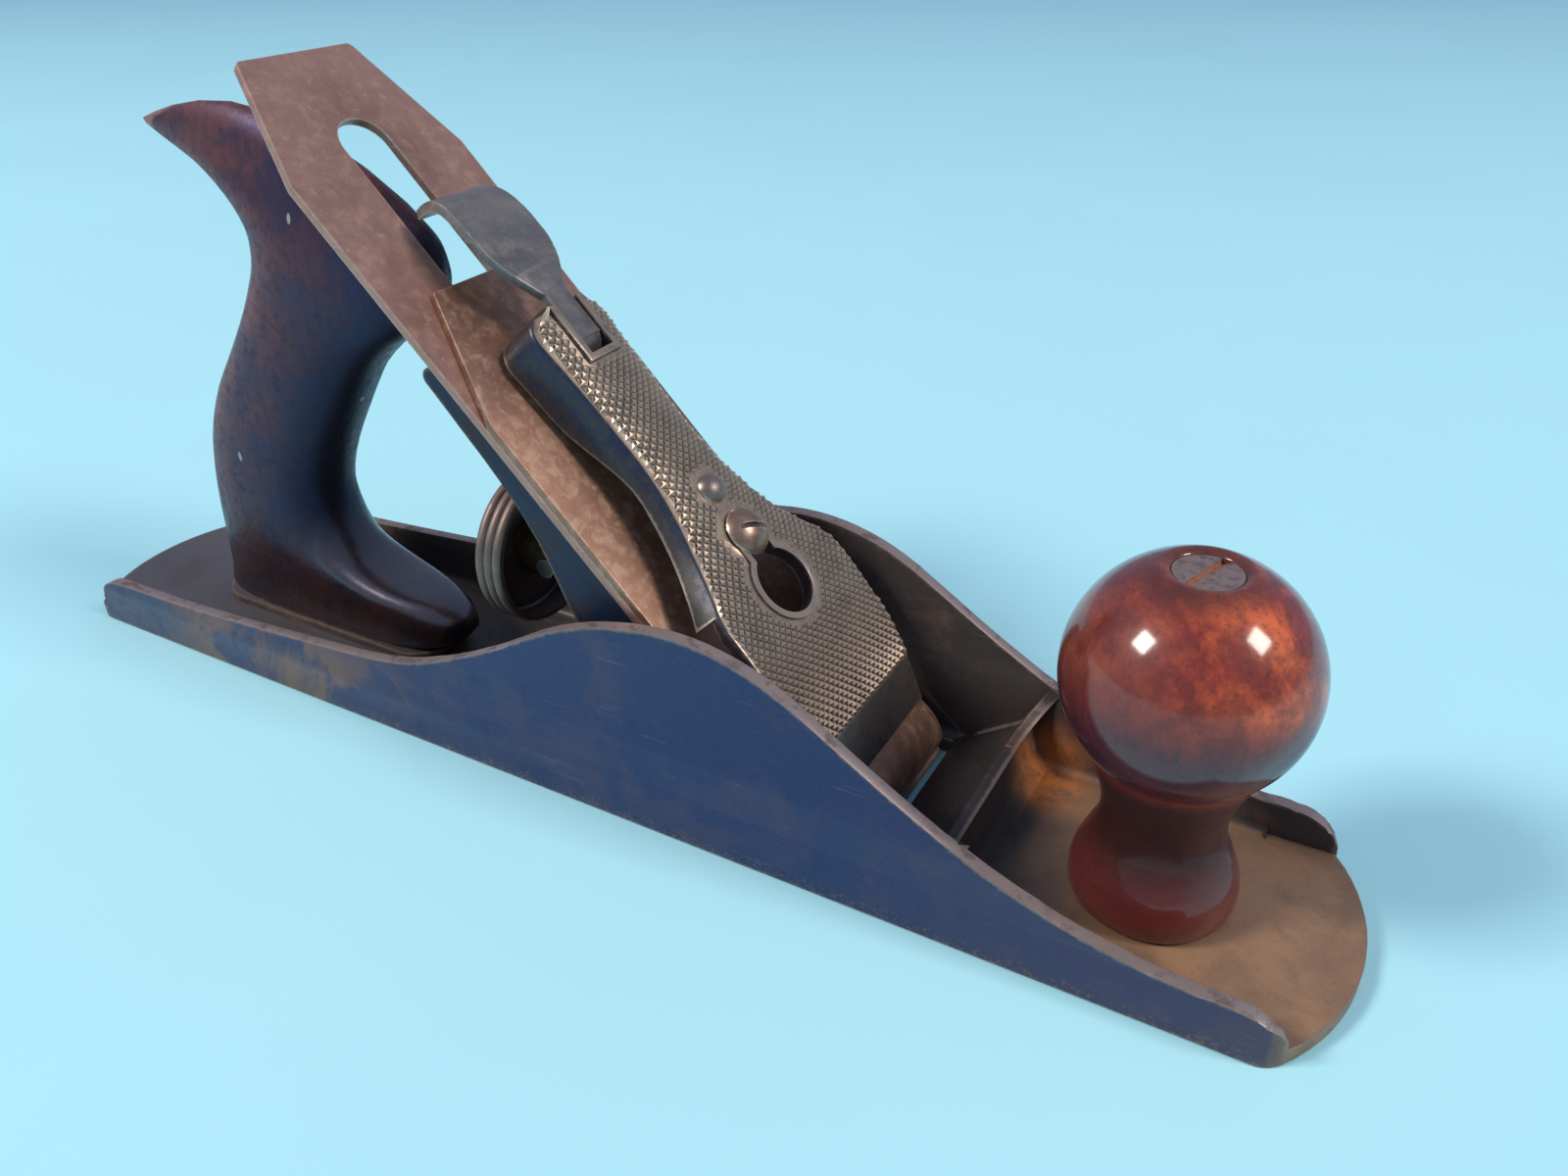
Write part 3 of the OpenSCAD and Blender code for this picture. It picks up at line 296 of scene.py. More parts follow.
def from_frame(node, name):
    """A copy of a node of the frame as one joined skin, with its flat faces whole again."""
    clear_selection()
    source = frame["nodes"][node]
    source.select_set(True)
    bpy.context.view_layer.objects.active = source
    bpy.ops.object.duplicate()
    piece = bpy.context.view_layer.objects.active
    bpy.ops.object.parent_clear(type="CLEAR_KEEP_TRANSFORM")
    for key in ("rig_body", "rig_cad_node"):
        if key in piece:
            del piece[key]
    piece.name = name
    piece.data.name = name
    piece.data.materials.clear()
    edit(piece)
    bpy.ops.mesh.customdata_custom_splitnormals_clear()
    bpy.ops.mesh.remove_doubles(threshold=SAME_POINT)
    bpy.ops.mesh.dissolve_limited(angle_limit=FLAT_ANGLE)
    done()
    return piece


def walked(name, points):
    """A piece that is one vertex walked from point to point, which leaves a line of edges."""
    clear_selection()
    bpy.ops.mesh.primitive_plane_add(size=0.001, location=(0, 0, 0))
    piece = bpy.context.view_layer.objects.active
    piece.name = name
    piece.data.name = name
    edit(piece)
    bpy.ops.mesh.merge(type="CENTER")
    bpy.ops.transform.translate(value=points[0])
    for here, there in zip(points, points[1:]):
        bpy.ops.mesh.extrude_region_move(TRANSFORM_OT_translate={"value": there - here})
    done()
    return piece


def turned(name, profile, steps, centre, axis, across):
    """A turned piece: a line along the profile of [radius, place along the axis], spun round the axis."""
    axis = Vector(axis)
    points = [Vector(centre) + (Vector(across) * r + axis * z) * MM for r, z in profile]
    piece = walked(name, points)
    edit(piece)
    bpy.ops.mesh.spin(steps=steps, angle=2 * math.pi, center=Vector(centre), axis=axis)
    bpy.ops.mesh.select_all(action="SELECT")
    bpy.ops.mesh.remove_doubles(threshold=SAME_POINT)
    bpy.ops.mesh.normals_make_consistent(inside=False)
    done()
    return settle(piece)


def smooth_line(points, cuts):
    """A smooth line through the points, with so many cuts between each two."""
    line = []
    count = len(points)
    for i in range(count - 1):
        before = points[max(i - 1, 0)]
        a, b = points[i], points[i + 1]
        after = points[min(i + 2, count - 1)]
        for k in range(cuts):
            t = k / cuts
            line.append([
                0.5 * (2 * a[c] + (b[c] - before[c]) * t
                       + (2 * before[c] - 5 * a[c] + 4 * b[c] - after[c]) * t ** 2
                       + (3 * a[c] - before[c] - 3 * b[c] + after[c]) * t ** 3)
                for c in (0, 1)])
    return line + [list(points[-1])]


def finish(piece, body, slot, material, *nodes):
    """Hands a finished piece over: its finish, the body it rides on and the nodes it stands for."""
    piece.data.materials.clear()
    piece.data.materials.append(material)
    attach(piece, body)
    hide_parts(*nodes)
    clear_selection()
    return piece


# Wiring shader nodes


def feed(tree, socket, value):
    """Gives a socket a link, a number or a colour."""
    if isinstance(value, bpy.types.NodeSocket):
        tree.links.new(value, socket)
    elif hasattr(value, "__len__") and len(value) == 3 and socket.type == "RGBA":
        socket.default_value = (*value, 1.0)
    else:
        socket.default_value = value


def add(tree, kind, settings=None, **inputs):
    """Adds a shader node: settings are its own properties, inputs are its sockets by name."""
    made = tree.nodes.new(kind)
    for name, value in (settings or {}).items():
        setattr(made, name, value)
    for name, value in inputs.items():
        feed(tree, made.inputs[name.replace("_", " ")], value)
    return made


def calc(tree, operation, *values, clamp=False):
    """A math node's result."""
    made = add(tree, "ShaderNodeMath", {"operation": operation, "use_clamp": clamp})
    for socket, value in zip(made.inputs, values):
        feed(tree, socket, value)
    return made.outputs[0]


def vector_calc(tree, operation, first, second):
    """A vector math node's outputs."""
    made = add(tree, "ShaderNodeVectorMath", {"operation": operation})
    feed(tree, made.inputs[0], first)
    feed(tree, made.inputs[1], second)
    return made.outputs


def times(tree, first, *others):
    """The product of masks and numbers."""
    for other in others:
        first = calc(tree, "MULTIPLY", first, other)
    return first


def plus(tree, first, *others):
    """The sum of masks and numbers."""
    for other in others:
        first = calc(tree, "ADD", first, other)
    return first


def minus(tree, first, second):
    """The difference of two masks or numbers."""
    return calc(tree, "SUBTRACT", first, second)


def blend(tree, share, first, second):
    """A mix of two colours."""
    made = add(tree, "ShaderNodeMix", {"data_type": "RGBA"})
    for socket, value in zip((made.inputs[0], made.inputs[6], made.inputs[7]), (share, first, second)):
        feed(tree, socket, value)
    return made.outputs[2]


def layered(tree, colour, *layers):
    """A colour with layers laid over it in order, each given as a colour and the masks and shares of it."""
    for over, *masks in layers:
        colour = blend(tree, times(tree, *masks), colour, over)
    return colour


def level(tree, value, low, high, to_low=0.0, to_high=1.0):
    """Maps a value smoothly from one range to another."""
    made = add(tree, "ShaderNodeMapRange", {"interpolation_type": "SMOOTHSTEP"})
    for socket, given in zip(made.inputs, (value, low, high, to_low, to_high)):
        feed(tree, socket, given)
    return made.outputs[0]


def place(tree, scale=(1, 1, 1), shift=(0, 0, 0)):
    """The piece's own coordinates in millimetres, stretched and shifted."""
    source = add(tree, "ShaderNodeTexCoord").outputs["Object"]
    made = add(tree, "ShaderNodeMapping", {"vector_type": "POINT"}, Vector=source)
    made.inputs["Scale"].default_value = [TO_MM * c for c in scale]
    made.inputs["Location"].default_value = shift
    return made.outputs[0]


def axes(tree, vector):
    """The three parts of a vector."""
    return add(tree, "ShaderNodeSeparateXYZ", Vector=vector).outputs


def facing(tree):
    """The direction that the surface faces."""
    return add(tree, "ShaderNodeTexCoord").outputs["Normal"]


def grain(tree, vector, scale, detail=4.0, roughness=0.55, distortion=0.0):
    """A noise texture's value."""
    return add(tree, "ShaderNodeTexNoise", Vector=vector, Scale=scale, Detail=detail,
               Roughness=roughness, Distortion=distortion).outputs[0]


def group(name, inputs, outputs):
    """An empty shader node group with named sockets: its tree, its inputs, and the sockets it puts out by."""
    tree = bpy.data.node_groups.new(name, "ShaderNodeTree")
    for label, value in inputs.items():
        kind = "NodeSocketVector" if hasattr(value, "__len__") else "NodeSocketFloat"
        socket = tree.interface.new_socket(name=label, in_out="INPUT", socket_type=kind)
        socket.default_value = value
    for label in outputs:
        tree.interface.new_socket(name=label, in_out="OUTPUT", socket_type="NodeSocketFloat")
    return tree, tree.nodes.new("NodeGroupInput").outputs, tree.nodes.new("NodeGroupOutput").inputs


def use(tree, name, **values):
    """Places a node group in a material and returns its outputs."""
    made = add(tree, "ShaderNodeGroup", {"node_tree": bpy.data.node_groups[name]})
    for label, value in values.items():
        feed(tree, made.inputs[label], value)
    return made.outputs


def mask(tree, name, **values):
    """The mask that a node group makes."""
    return use(tree, name, **values)["Mask"]


# Effects that several finishes share


def closeness_effect(name, defaults, inside, detail, low, high):
    """A mask of how close surfaces lie within a reach, looked for inside or outside, broken up by noise."""
    tree, given, result = group(name, defaults, ["Mask"])
    near = add(tree, "ShaderNodeAmbientOcclusion", {"samples": 8, "inside": inside, "only_local": True},
               Distance=given["Reach"]).outputs["AO"]
    noise = grain(tree, place(tree), given["Grain"], detail, 0.6)
    broken = times(tree, minus(tree, noise, 0.5), given["Breakup"])
    shut = plus(tree, minus(tree, 1.0, near), broken)
    feed(tree, result["Mask"], level(tree, shut, low, high))


def patches_effect():
    """Soft patches of wear or stain."""
    defaults = {"Grain": 0.08, "Low": 0.45, "High": 0.6, "Shift": (0, 0, 0)}
    tree, given, result = group("Patches", defaults, ["Mask"])
    moved = vector_calc(tree, "ADD", place(tree), given["Shift"])[0]
    noise = grain(tree, moved, given["Grain"], 6.0, 0.62, 0.4)
    feed(tree, result["Mask"], level(tree, noise, given["Low"], given["High"]))


def scratches_effect():
    """Fine scratches along one direction."""
    tree, given, result = group("Scratches", {"Turn": (0, 0, 0), "Amount": 0.5}, ["Mask"])
    source = add(tree, "ShaderNodeTexCoord").outputs["Object"]
    drawn_out = add(tree, "ShaderNodeMapping", Vector=source, Rotation=given["Turn"], Scale=(40, 1600, 1600))
    thin = level(tree, grain(tree, drawn_out.outputs[0], 1.0, 2.0, 0.5, 0.3), 0.64, 0.72)
    where = level(tree, grain(tree, place(tree), 0.09, 2.0), 0.45, 0.62)
    feed(tree, result["Mask"], times(tree, thin, where, given["Amount"]))


def cast_skin_effect():
    """Skin of an iron casting: fine grain with small pits."""
    tree, given, result = group("Cast skin", {"Grain": 2.2, "Pits": 0.5}, ["Height"])
    fine = grain(tree, place(tree), given["Grain"], 5.0, 0.6)
    cells = add(tree, "ShaderNodeTexVoronoi", {"feature": "F1"}, Vector=place(tree), Scale=0.9)
    pit = times(tree, level(tree, cells.outputs["Distance"], 0.1, 0.26, 1.0, 0.0), given["Pits"])
    feed(tree, result["Height"], minus(tree, fine, pit))


def wood_figure_effect():
    """Figure of a hardwood: streaks along the grain, cloudy mottle, and dark pores."""
    defaults = {"Turn": (0, 0, 0), "Streak": 1.0}
    tree, given, result = group("Wood figure", defaults, ["Streaks", "Mottle", "Pores"])
    source = add(tree, "ShaderNodeTexCoord").outputs["Object"]
    along, pores = [
        add(tree, "ShaderNodeMapping", Vector=source, Rotation=given["Turn"], Scale=scale).outputs[0]
        for scale in ((420, 420, 45), (1900, 1900, 260))]
    feed(tree, result["Streaks"], level(tree, grain(tree, along, given["Streak"], 5.0, 0.6, 0.6), 0.32, 0.7))
    feed(tree, result["Mottle"], level(tree, grain(tree, place(tree), 0.22, 6.0, 0.68, 0.9), 0.38, 0.66))
    feed(tree, result["Pores"], level(tree, grain(tree, pores, 1.0, 2.0, 0.5), 0.60, 0.70))


def build_effects():
    """Builds the node groups once, before the first finish."""
    closeness_effect("Worn edges", {"Reach": 0.001, "Breakup": 0.6, "Grain": 0.8}, True, 3.0, 0.12, 0.42)
    # the second mask finds closed-in places: most finishes paint shade into them as near black, the nuts put
    # rust there
    closeness_effect("Hollows", {"Reach": 0.008, "Breakup": 0.4, "Grain": 0.25}, False, 4.0, 0.15, 0.75)
    patches_effect()
    scratches_effect()
    cast_skin_effect()
    wood_figure_effect()


# Finishes. A range in them runs from where a look starts to where it is full, in millimetres along an axis


def new_finish(name):
    """A new material with its tree, and the sockets of its shader."""
    made = bpy.data.materials.new(name)
    made.use_nodes = True
    tree = made.node_tree
    return made, tree, tree.nodes["Principled BSDF"].inputs


def bumps(tree, sockets, height, strength, distance):
    """Feeds a height into the finish's normal."""
    made = add(tree, "ShaderNodeBump", Height=height, Strength=strength, Distance=distance)
    tree.links.new(made.outputs[0], sockets["Normal"])


def cheek_paint(tree, x, z, wide, fine):
    """Paint of the cheeks: rubbed brown low on the heel, hazy toward the toe, scuffed along the foot."""
    heel_x, heel_z, heel_end_x = (-25, -75), (34, 10), (-142, -112)
    haze_x, foot_z = (60, 150), (4.5, 0.8)
    heel = times(tree, level(tree, x, *heel_x), level(tree, z, *heel_z),
                 level(tree, x, *heel_end_x, 0.1, 1.0))
    rubbed = level(tree, grain(tree, place(tree, shift=(8, 0, 4)), 0.03, 5.0, 0.6, 0.5), 0.44, 0.52)
    brown = plus(tree, times(tree, wide, 0.12), times(tree, level(tree, x, *haze_x), 0.17),
                 times(tree, heel, plus(tree, times(tree, rubbed, 0.75), 0.12)))
    scuffed = times(tree, plus(tree, level(tree, z, *foot_z), 0.12), fine)
    worn = calc(tree, "ADD", brown, scuffed, clamp=True)
    return blend(tree, worn, finishes().paint, finishes().patina)


def inner_bed(tree, x, sideways, wide, small, fine):
    """Inside of the casting: dark by the frog, brown at the toe, dull at the heel, rusty in one corner, with
    painted shade in its corners.
    """
    toe_x, heel_x = (100, 130), (-40, -110)
    rust_middle, rust_reach = (106, 22, 8), (14, 3)
    blotch = mask(tree, "Patches", Grain=0.06, Low=0.40, High=0.62, Shift=(21, 4, 8))
    toe = layered(
        tree, (0.29, 0.165, 0.092),
        ((0.19, 0.102, 0.060), small, 0.35),
        ((0.130, 0.082, 0.056), blotch, 0.5),
        ((0.32, 0.22, 0.155), fine, 0.3))
    away = vector_calc(tree, "DISTANCE", place(tree), rust_middle)["Value"]
    crust = level(tree, grain(tree, place(tree), 0.14, 6.0, 0.7), 0.25, 0.65)
    return layered(
        tree, blend(tree, wide, (0.036, 0.028, 0.027), (0.072, 0.050, 0.042)),
        (toe, level(tree, x, *toe_x)),
        (layered(tree, (0.088, 0.078, 0.088), ((0.070, 0.052, 0.048), wide, 0.6)), level(tree, x, *heel_x)),
        (blend(tree, wide, (0.055, 0.043, 0.040), (0.145, 0.092, 0.070)), level(tree, sideways, 0.5, 0.85)),
        # painted shade: darker where the casting's walls close in
        ((0.020, 0.014, 0.012), mask(tree, "Hollows", Reach=0.010, Breakup=0.5, Grain=0.3), 0.4),
        (finishes().rust, level(tree, away, *rust_reach), crust))


def casting_finish():
    """Worn paint on the cheeks, bare rims, a dark inside with painted shade in its corners, brown toe and a
    ground sole.
    """
    made, tree, shader = new_finish("Body casting")
    x, y, z = axes(tree, place(tree))
    faces = axes(tree, facing(tree))
    sideways = calc(tree, "ABSOLUTE", faces[1])
    half = TO_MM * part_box("body")[1].y
    skin_y, rim_y, rim_z = (half - 0.9, half - 0.35), (half - 5.2, half - 4.4), (6.5, 8.0)
    off_middle = calc(tree, "ABSOLUTE", y)
    outer = times(tree, level(tree, off_middle, *skin_y), level(tree, sideways, 0.35, 0.7))
    rim = times(tree, level(tree, faces[2], 0.25, 0.7), level(tree, off_middle, *rim_y),
                level(tree, z, *rim_z))
    sole = level(tree, faces[2], -0.9, -0.5, 1.0, 0.0)
    wide = mask(tree, "Patches", Grain=0.035, Low=0.47, High=0.62, Shift=(31, 7, 3))
    small = mask(tree, "Patches", Grain=0.22, Low=0.50, High=0.66, Shift=(5, 60, 9))
    fine = mask(tree, "Patches", Grain=1.4, Low=0.50, High=0.70, Shift=(0, 0, 40))
    edges = mask(tree, "Worn edges", Reach=0.0011, Breakup=0.7, Grain=0.5)
    lines = mask(tree, "Scratches", Turn=(0.3, 0.12, 0.5), Amount=0.7)
    bare = blend(tree, small, (0.30, 0.235, 0.225), (0.160, 0.118, 0.112))
    colour = layered(
        tree, inner_bed(tree, x, sideways, wide, small, fine),
        (cheek_paint(tree, x, z, wide, fine), outer),
        (layered(tree, bare, ((0.36, 0.28, 0.24), fine, 0.4)), rim),
        ((0.30, 0.215, 0.18), edges, 0.75),
        (blend(tree, small, (0.30, 0.25, 0.22), (0.17, 0.115, 0.085)), sole),
        ((0.22, 0.18, 0.16), lines, 0.35))
    feed(tree, shader["Base Color"], colour)
    bright = times(tree, calc(tree, "MAXIMUM", rim, edges), 0.55)
    feed(tree, shader["Metallic"], times(tree, calc(tree, "MAXIMUM", bright, sole), 0.85))
    rough = plus(tree, times(tree, small, 0.16), 0.34, times(tree, minus(tree, 1.0, outer), 0.12))
    feed(tree, shader["Roughness"], rough)
    bumps(tree, shader, use(tree, "Cast skin", Grain=1.8, Pits=0.45)["Height"], 0.28, 0.00012)
    return made


def frog_finish():
    """Blue black paint, chipped at its edges."""
    made, tree, shader = new_finish("Frog casting")
    patch = mask(tree, "Patches", Grain=0.12, Low=0.48, High=0.66, Shift=(3, 11, 2))
    edges = mask(tree, "Worn edges", Reach=0.0012, Breakup=0.9, Grain=0.9)
    paint = blend(tree, patch, (0.010, 0.018, 0.044), (0.030, 0.024, 0.026))
    feed(tree, shader["Base Color"], layered(tree, paint, ((0.16, 0.11, 0.09), edges)))
    shader["Specular IOR Level"].default_value = 0.3
    feed(tree, shader["Roughness"], level(tree, patch, 0, 1, 0.48, 0.62))
    feed(tree, shader["Metallic"], times(tree, edges, 0.6))
    bumps(tree, shader, use(tree, "Cast skin", Grain=1.4, Pits=0.7)["Height"], 0.35, 0.00015)
    return made


def steel_finish(name, colour, bright, dark, turn=(0, 0, 0), roughness=0.40, metal=0.6, hollow_shade=0.5,
                 cloud=0.22):
    """Browned sheet steel with faint clouds, fine scratches along the sheet, bright edges, and painted shade
    where other surfaces close in.
    """
    made, tree, shader = new_finish(name)
    wide = mask(tree, "Patches", Grain=0.028, Low=0.36, High=0.68, Shift=(17, 3, 29))
    small = mask(tree, "Patches", Grain=0.30, Low=0.42, High=0.74, Shift=(2, 41, 5))
    fine = mask(tree, "Patches", Grain=2.2, Low=0.46, High=0.76, Shift=(9, 9, 9))
    fleck = mask(tree, "Patches", Grain=0.5, Low=0.64, High=0.68, Shift=(31, 9, 4))
    lines = mask(tree, "Scratches", Turn=turn, Amount=0.9)
    shut = mask(tree, "Hollows", Reach=0.006, Breakup=0.6, Grain=0.4)
    edges = mask(tree, "Worn edges", Reach=0.0006, Breakup=0.5, Grain=0.5)
    feed(tree, shader["Base Color"], layered(
        tree, colour,
        (dark, wide, 0.75),
        (bright, small, cloud),
        (dark, fine, 0.3),
        (bright, calc(tree, "MAXIMUM", lines, fleck), 0.4),
        # painted shade: near black where other surfaces close in
        ((0.020, 0.015, 0.013), shut, hollow_shade),
        (bright, edges, 0.8)))
    shader["Metallic"].default_value = metal
    rough = plus(tree, roughness, times(tree, small, 0.12))
    feed(tree, shader["Roughness"], minus(tree, rough, times(tree, edges, 0.1)))
    bumps(tree, shader, minus(tree, grain(tree, place(tree), 1.6, 4.0, 0.6), lines), 0.16, 0.00008)
    return made


def cap_finish():
    """Bronze grey face with painted shade in its hollows, navy paint chipped off the flanges, smooth dark
    lip.
    """
    made, tree, shader = new_finish("Lever cap")
    up_bed = vector_calc(tree, "DOT_PRODUCT", place(tree, shift=(-BED_X, 0, 0)), ALONG_BED)["Value"]
    lip = level(tree, up_bed, CAP_RIDGE + 0.3, CAP_RIDGE - 0.5)
    flank = level(tree, vector_calc(tree, "DOT_PRODUCT", facing(tree), OFF_BED)["Value"], 0.86, 0.74)
    small = mask(tree, "Patches", Grain=0.3, Low=0.45, High=0.66, Shift=(2, 14, 5))
    fine = mask(tree, "Patches", Grain=1.6, Low=0.48, High=0.68, Shift=(7, 1, 3))
    edges = mask(tree, "Worn edges", Reach=0.0009, Breakup=0.6, Grain=0.7)
    chips = mask(tree, "Worn edges", Reach=0.0030, Breakup=1.3, Grain=0.7)
    shut = mask(tree, "Hollows", Reach=0.0012, Breakup=0.3, Grain=1.0)
    paint = blend(tree, fine, (0.010, 0.020, 0.052), (0.018, 0.016, 0.018))
    feed(tree, shader["Base Color"], layered(
        tree, blend(tree, small, finishes().bronze, (0.24, 0.185, 0.165)),
        # painted shade: dark where the face's hollows close in
        ((0.035, 0.026, 0.022), shut, 0.85),
        (layered(tree, paint, ((0.036, 0.027, 0.024), chips)), flank),
        (blend(tree, small, (0.20, 0.165, 0.150), (0.125, 0.100, 0.090)), lip),
        ((0.42, 0.34, 0.29), edges, 0.7)))
    metal = minus(tree, 0.7, times(tree, flank, 0.65))
    feed(tree, shader["Metallic"], calc(tree, "MAXIMUM", metal, times(tree, edges, 0.7)))
    feed(tree, shader["Roughness"], plus(tree, times(tree, small, 0.14), 0.33))
    bumps(tree, shader, use(tree, "Cast skin", Grain=1.6, Pits=0.35)["Height"], 0.22, 0.0001)
    return made


def checker_finish():
    """The pyramids: worn points painted bright as highlights, over valleys painted dark as shade."""
    made, tree, shader = new_finish("Checkering")
    shut = mask(tree, "Hollows", Reach=0.0011, Breakup=0.1, Grain=1.0)
    lit_worn_tips = mask(tree, "Worn edges", Reach=0.00035, Breakup=0.3, Grain=1.2)
    small = mask(tree, "Patches", Grain=0.16, Low=0.40, High=0.68, Shift=(2, 14, 5))
    feed(tree, shader["Base Color"], layered(
        tree, blend(tree, small, finishes().bronze, (0.29, 0.22, 0.175)),
        # painted shade: the valleys between the pyramids go near black
        ((0.030, 0.021, 0.017), level(tree, shut, 0.0, 0.35), 0.96),
        # painted highlight on the worn points of the pyramids
        ((0.72, 0.60, 0.48), lit_worn_tips, 0.8)))
    shader["Metallic"].default_value = 0.65
    feed(tree, shader["Roughness"], level(tree, small, 0, 1, 0.33, 0.44))
    bumps(tree, shader, grain(tree, place(tree), 2.2, 3.0), 0.15, 0.00006)
    return made


def knob_finish():
    """Glossy red hardwood: dark dashes round the belt and a dull dark neck, with painted light on it: lighter
    orange clouds on the top of the ball, a dark purple band below its middle for its shade and the floor's
    reflection, and painted shade on the side toward the heel.
    """
    made, tree, shader = new_finish("Knob wood")
    crown_z, top_z, foot_z = (56, 68), (77.5, 80.8), (24, 10)
    belt_z, neck_z, dull_z = ((40, 47), (63, 52)), ((42, 37), (6, 22)), ((44, 38), (10, 24))
    dark = (0.030, 0.007, 0.007)
    z = axes(tree, place(tree))[2]
    faces = axes(tree, facing(tree))
    belt, neck, dull = [
        times(tree, level(tree, z, *first), level(tree, z, *second))
        for first, second in (belt_z, neck_z, dull_z)]
    shaded_side = level(tree, plus(tree, faces[0], times(tree, faces[1], 0.45)), 0.35, -0.75)
    figure = use(tree, "Wood figure", Turn=(0.06, 0.04, 0), Streak=1.0)
    cloud = mask(tree, "Patches", Grain=0.055, Low=0.40, High=0.60, Shift=(14, 38, 15))
    swirl = mask(tree, "Patches", Grain=0.11, Low=0.47, High=0.62, Shift=(3, 51, 22))
    speck = mask(tree, "Patches", Grain=0.9, Low=0.54, High=0.66, Shift=(40, 8, 1))
    dent = mask(tree, "Patches", Grain=0.35, Low=0.60, High=0.75, Shift=(9, 3, 1))
    dashes = level(tree, grain(tree, place(tree, (0.62, 0.62, 0.26)), 1.0, 3.0, 0.6), 0.50, 0.60)
    feed(tree, shader["Base Color"], layered(
        tree, finishes().wood_red,
        # painted light: lighter orange in cloudy patches, kept to the top of the ball where the light falls
        ((0.78, 0.135, 0.027), level(tree, z, *crown_z), cloud),
        # painted shade: the side of the knob that faces the heel is darkened
        ((0.085, 0.014, 0.016), shaded_side, 0.72),
        ((0.11, 0.011, 0.008), swirl, 0.6),
        ((0.155, 0.016, 0.009), figure["Mottle"], 0.3),
        ((0.10, 0.012, 0.008), figure["Streaks"], 0.35),
        (dark, dashes, belt, 0.9),
        # painted shade and reflection: a dark purple band below the middle of the ball stands in for its
        # shaded underside and the blue floor seen in it
        ((0.050, 0.009, 0.020), belt, 0.78),
        (dark, speck, 0.4),
        ((0.024, 0.010, 0.010), neck, 0.85),
        ((0.115, 0.026, 0.022), level(tree, z, *foot_z), 0.62),
        ((0.055, 0.018, 0.012), level(tree, z, *top_z), 0.6)))
    shader["Specular IOR Level"].default_value = 0.2
    feed(tree, shader["Roughness"], plus(tree, times(tree, figure["Mottle"], 0.15), 0.42))
    feed(tree, shader["Coat Weight"], minus(tree, 1.0, times(tree, dull, 0.75)))
    shader["Coat Roughness"].default_value = 0.12
    rise = minus(tree, times(tree, grain(tree, place(tree), 0.3, 4.0), 0.6), dent)
    bumps(tree, shader, minus(tree, rise, times(tree, figure["Pores"], 0.15)), 0.2, 0.0003)
    return made


def tote_finish():
    """Dark stained wood with a painted navy reflection of the floor on the faces away from the toe, rubbed to
    a dull red along the back and the horn, glossy at the toe.
    """
    made, tree, shader = new_finish("Tote wood")
    toe_z, back_z, horn_z = (46, 26), (16, 55), (112, 134)
    z = axes(tree, place(tree))[2]
    faces = axes(tree, facing(tree))
    figure = use(tree, "Wood figure", Turn=(0, -0.45, 0), Streak=0.9)
    wide = mask(tree, "Patches", Grain=0.06, Low=0.38, High=0.62, Shift=(61, 7, 13))
    small = mask(tree, "Patches", Grain=0.4, Low=0.44, High=0.70, Shift=(6, 2, 3))
    edges = mask(tree, "Worn edges", Reach=0.0016, Breakup=0.5, Grain=0.4)
    cells = add(tree, "ShaderNodeTexVoronoi", Vector=place(tree, (1, 1, 0.45)), Scale=0.075)
    chips = level(tree, cells.outputs["Distance"], 0.055, 0.035)
    toe = level(tree, z, *toe_z)
    back = times(tree, level(tree, faces[0], 0.30, -0.40), plus(tree, times(tree, wide, 0.55), 0.45),
                 level(tree, z, *back_z, 0.35, 1.0))
    horn = times(tree, level(tree, z, *horn_z), plus(tree, 0.2, times(tree, wide, 0.6)))
    red = blend(tree, small, (0.185, 0.050, 0.034), (0.095, 0.034, 0.030))
    feed(tree, shader["Base Color"], layered(
        # painted reflection: the navy in the base colour stands in for the blue floor seen in the wood; faces
        # toward the toe keep the plain dark stain
        tree, blend(tree, wide, (0.011, 0.016, 0.040), (0.020, 0.013, 0.016)),
        (finishes().wood_dark, level(tree, faces[0], 0.0, 0.7)),
        (red, calc(tree, "MAXIMUM", back, horn), 0.9),
        (blend(tree, wide, (0.018, 0.010, 0.008), (0.042, 0.020, 0.014)), toe, 0.8),
        ((0.014, 0.008, 0.009), figure["Streaks"], 0.3),
        ((0.009, 0.006, 0.006), figure["Pores"], 0.5),
        ((0.30, 0.155, 0.105), edges, 0.8),
        ((0.34, 0.30, 0.27), chips)))
    shader["Specular IOR Level"].default_value = 0.4
    # painted reflection: the blue specular tint colours the sheen the way the blue floor would
    shader["Specular Tint"].default_value = (0.36, 0.42, 1.0, 1)
    rough = plus(tree, 0.38, times(tree, small, 0.14))
    feed(tree, shader["Roughness"], minus(tree, rough, times(tree, toe, 0.08)))
    feed(tree, shader["Coat Weight"], times(tree, toe, level(tree, faces[2], 0.05, 0.45)))
    shader["Coat Roughness"].default_value = 0.26
    shader["Coat IOR"].default_value = 1.85
    rise = minus(tree, grain(tree, place(tree), 0.6, 5.0), times(tree, figure["Pores"], 0.6))
    lumps = times(tree, toe, 5.0, grain(tree, place(tree), 0.18, 3.0))
    bumps(tree, shader, plus(tree, rise, lumps), 0.30, 0.0002)
    return made


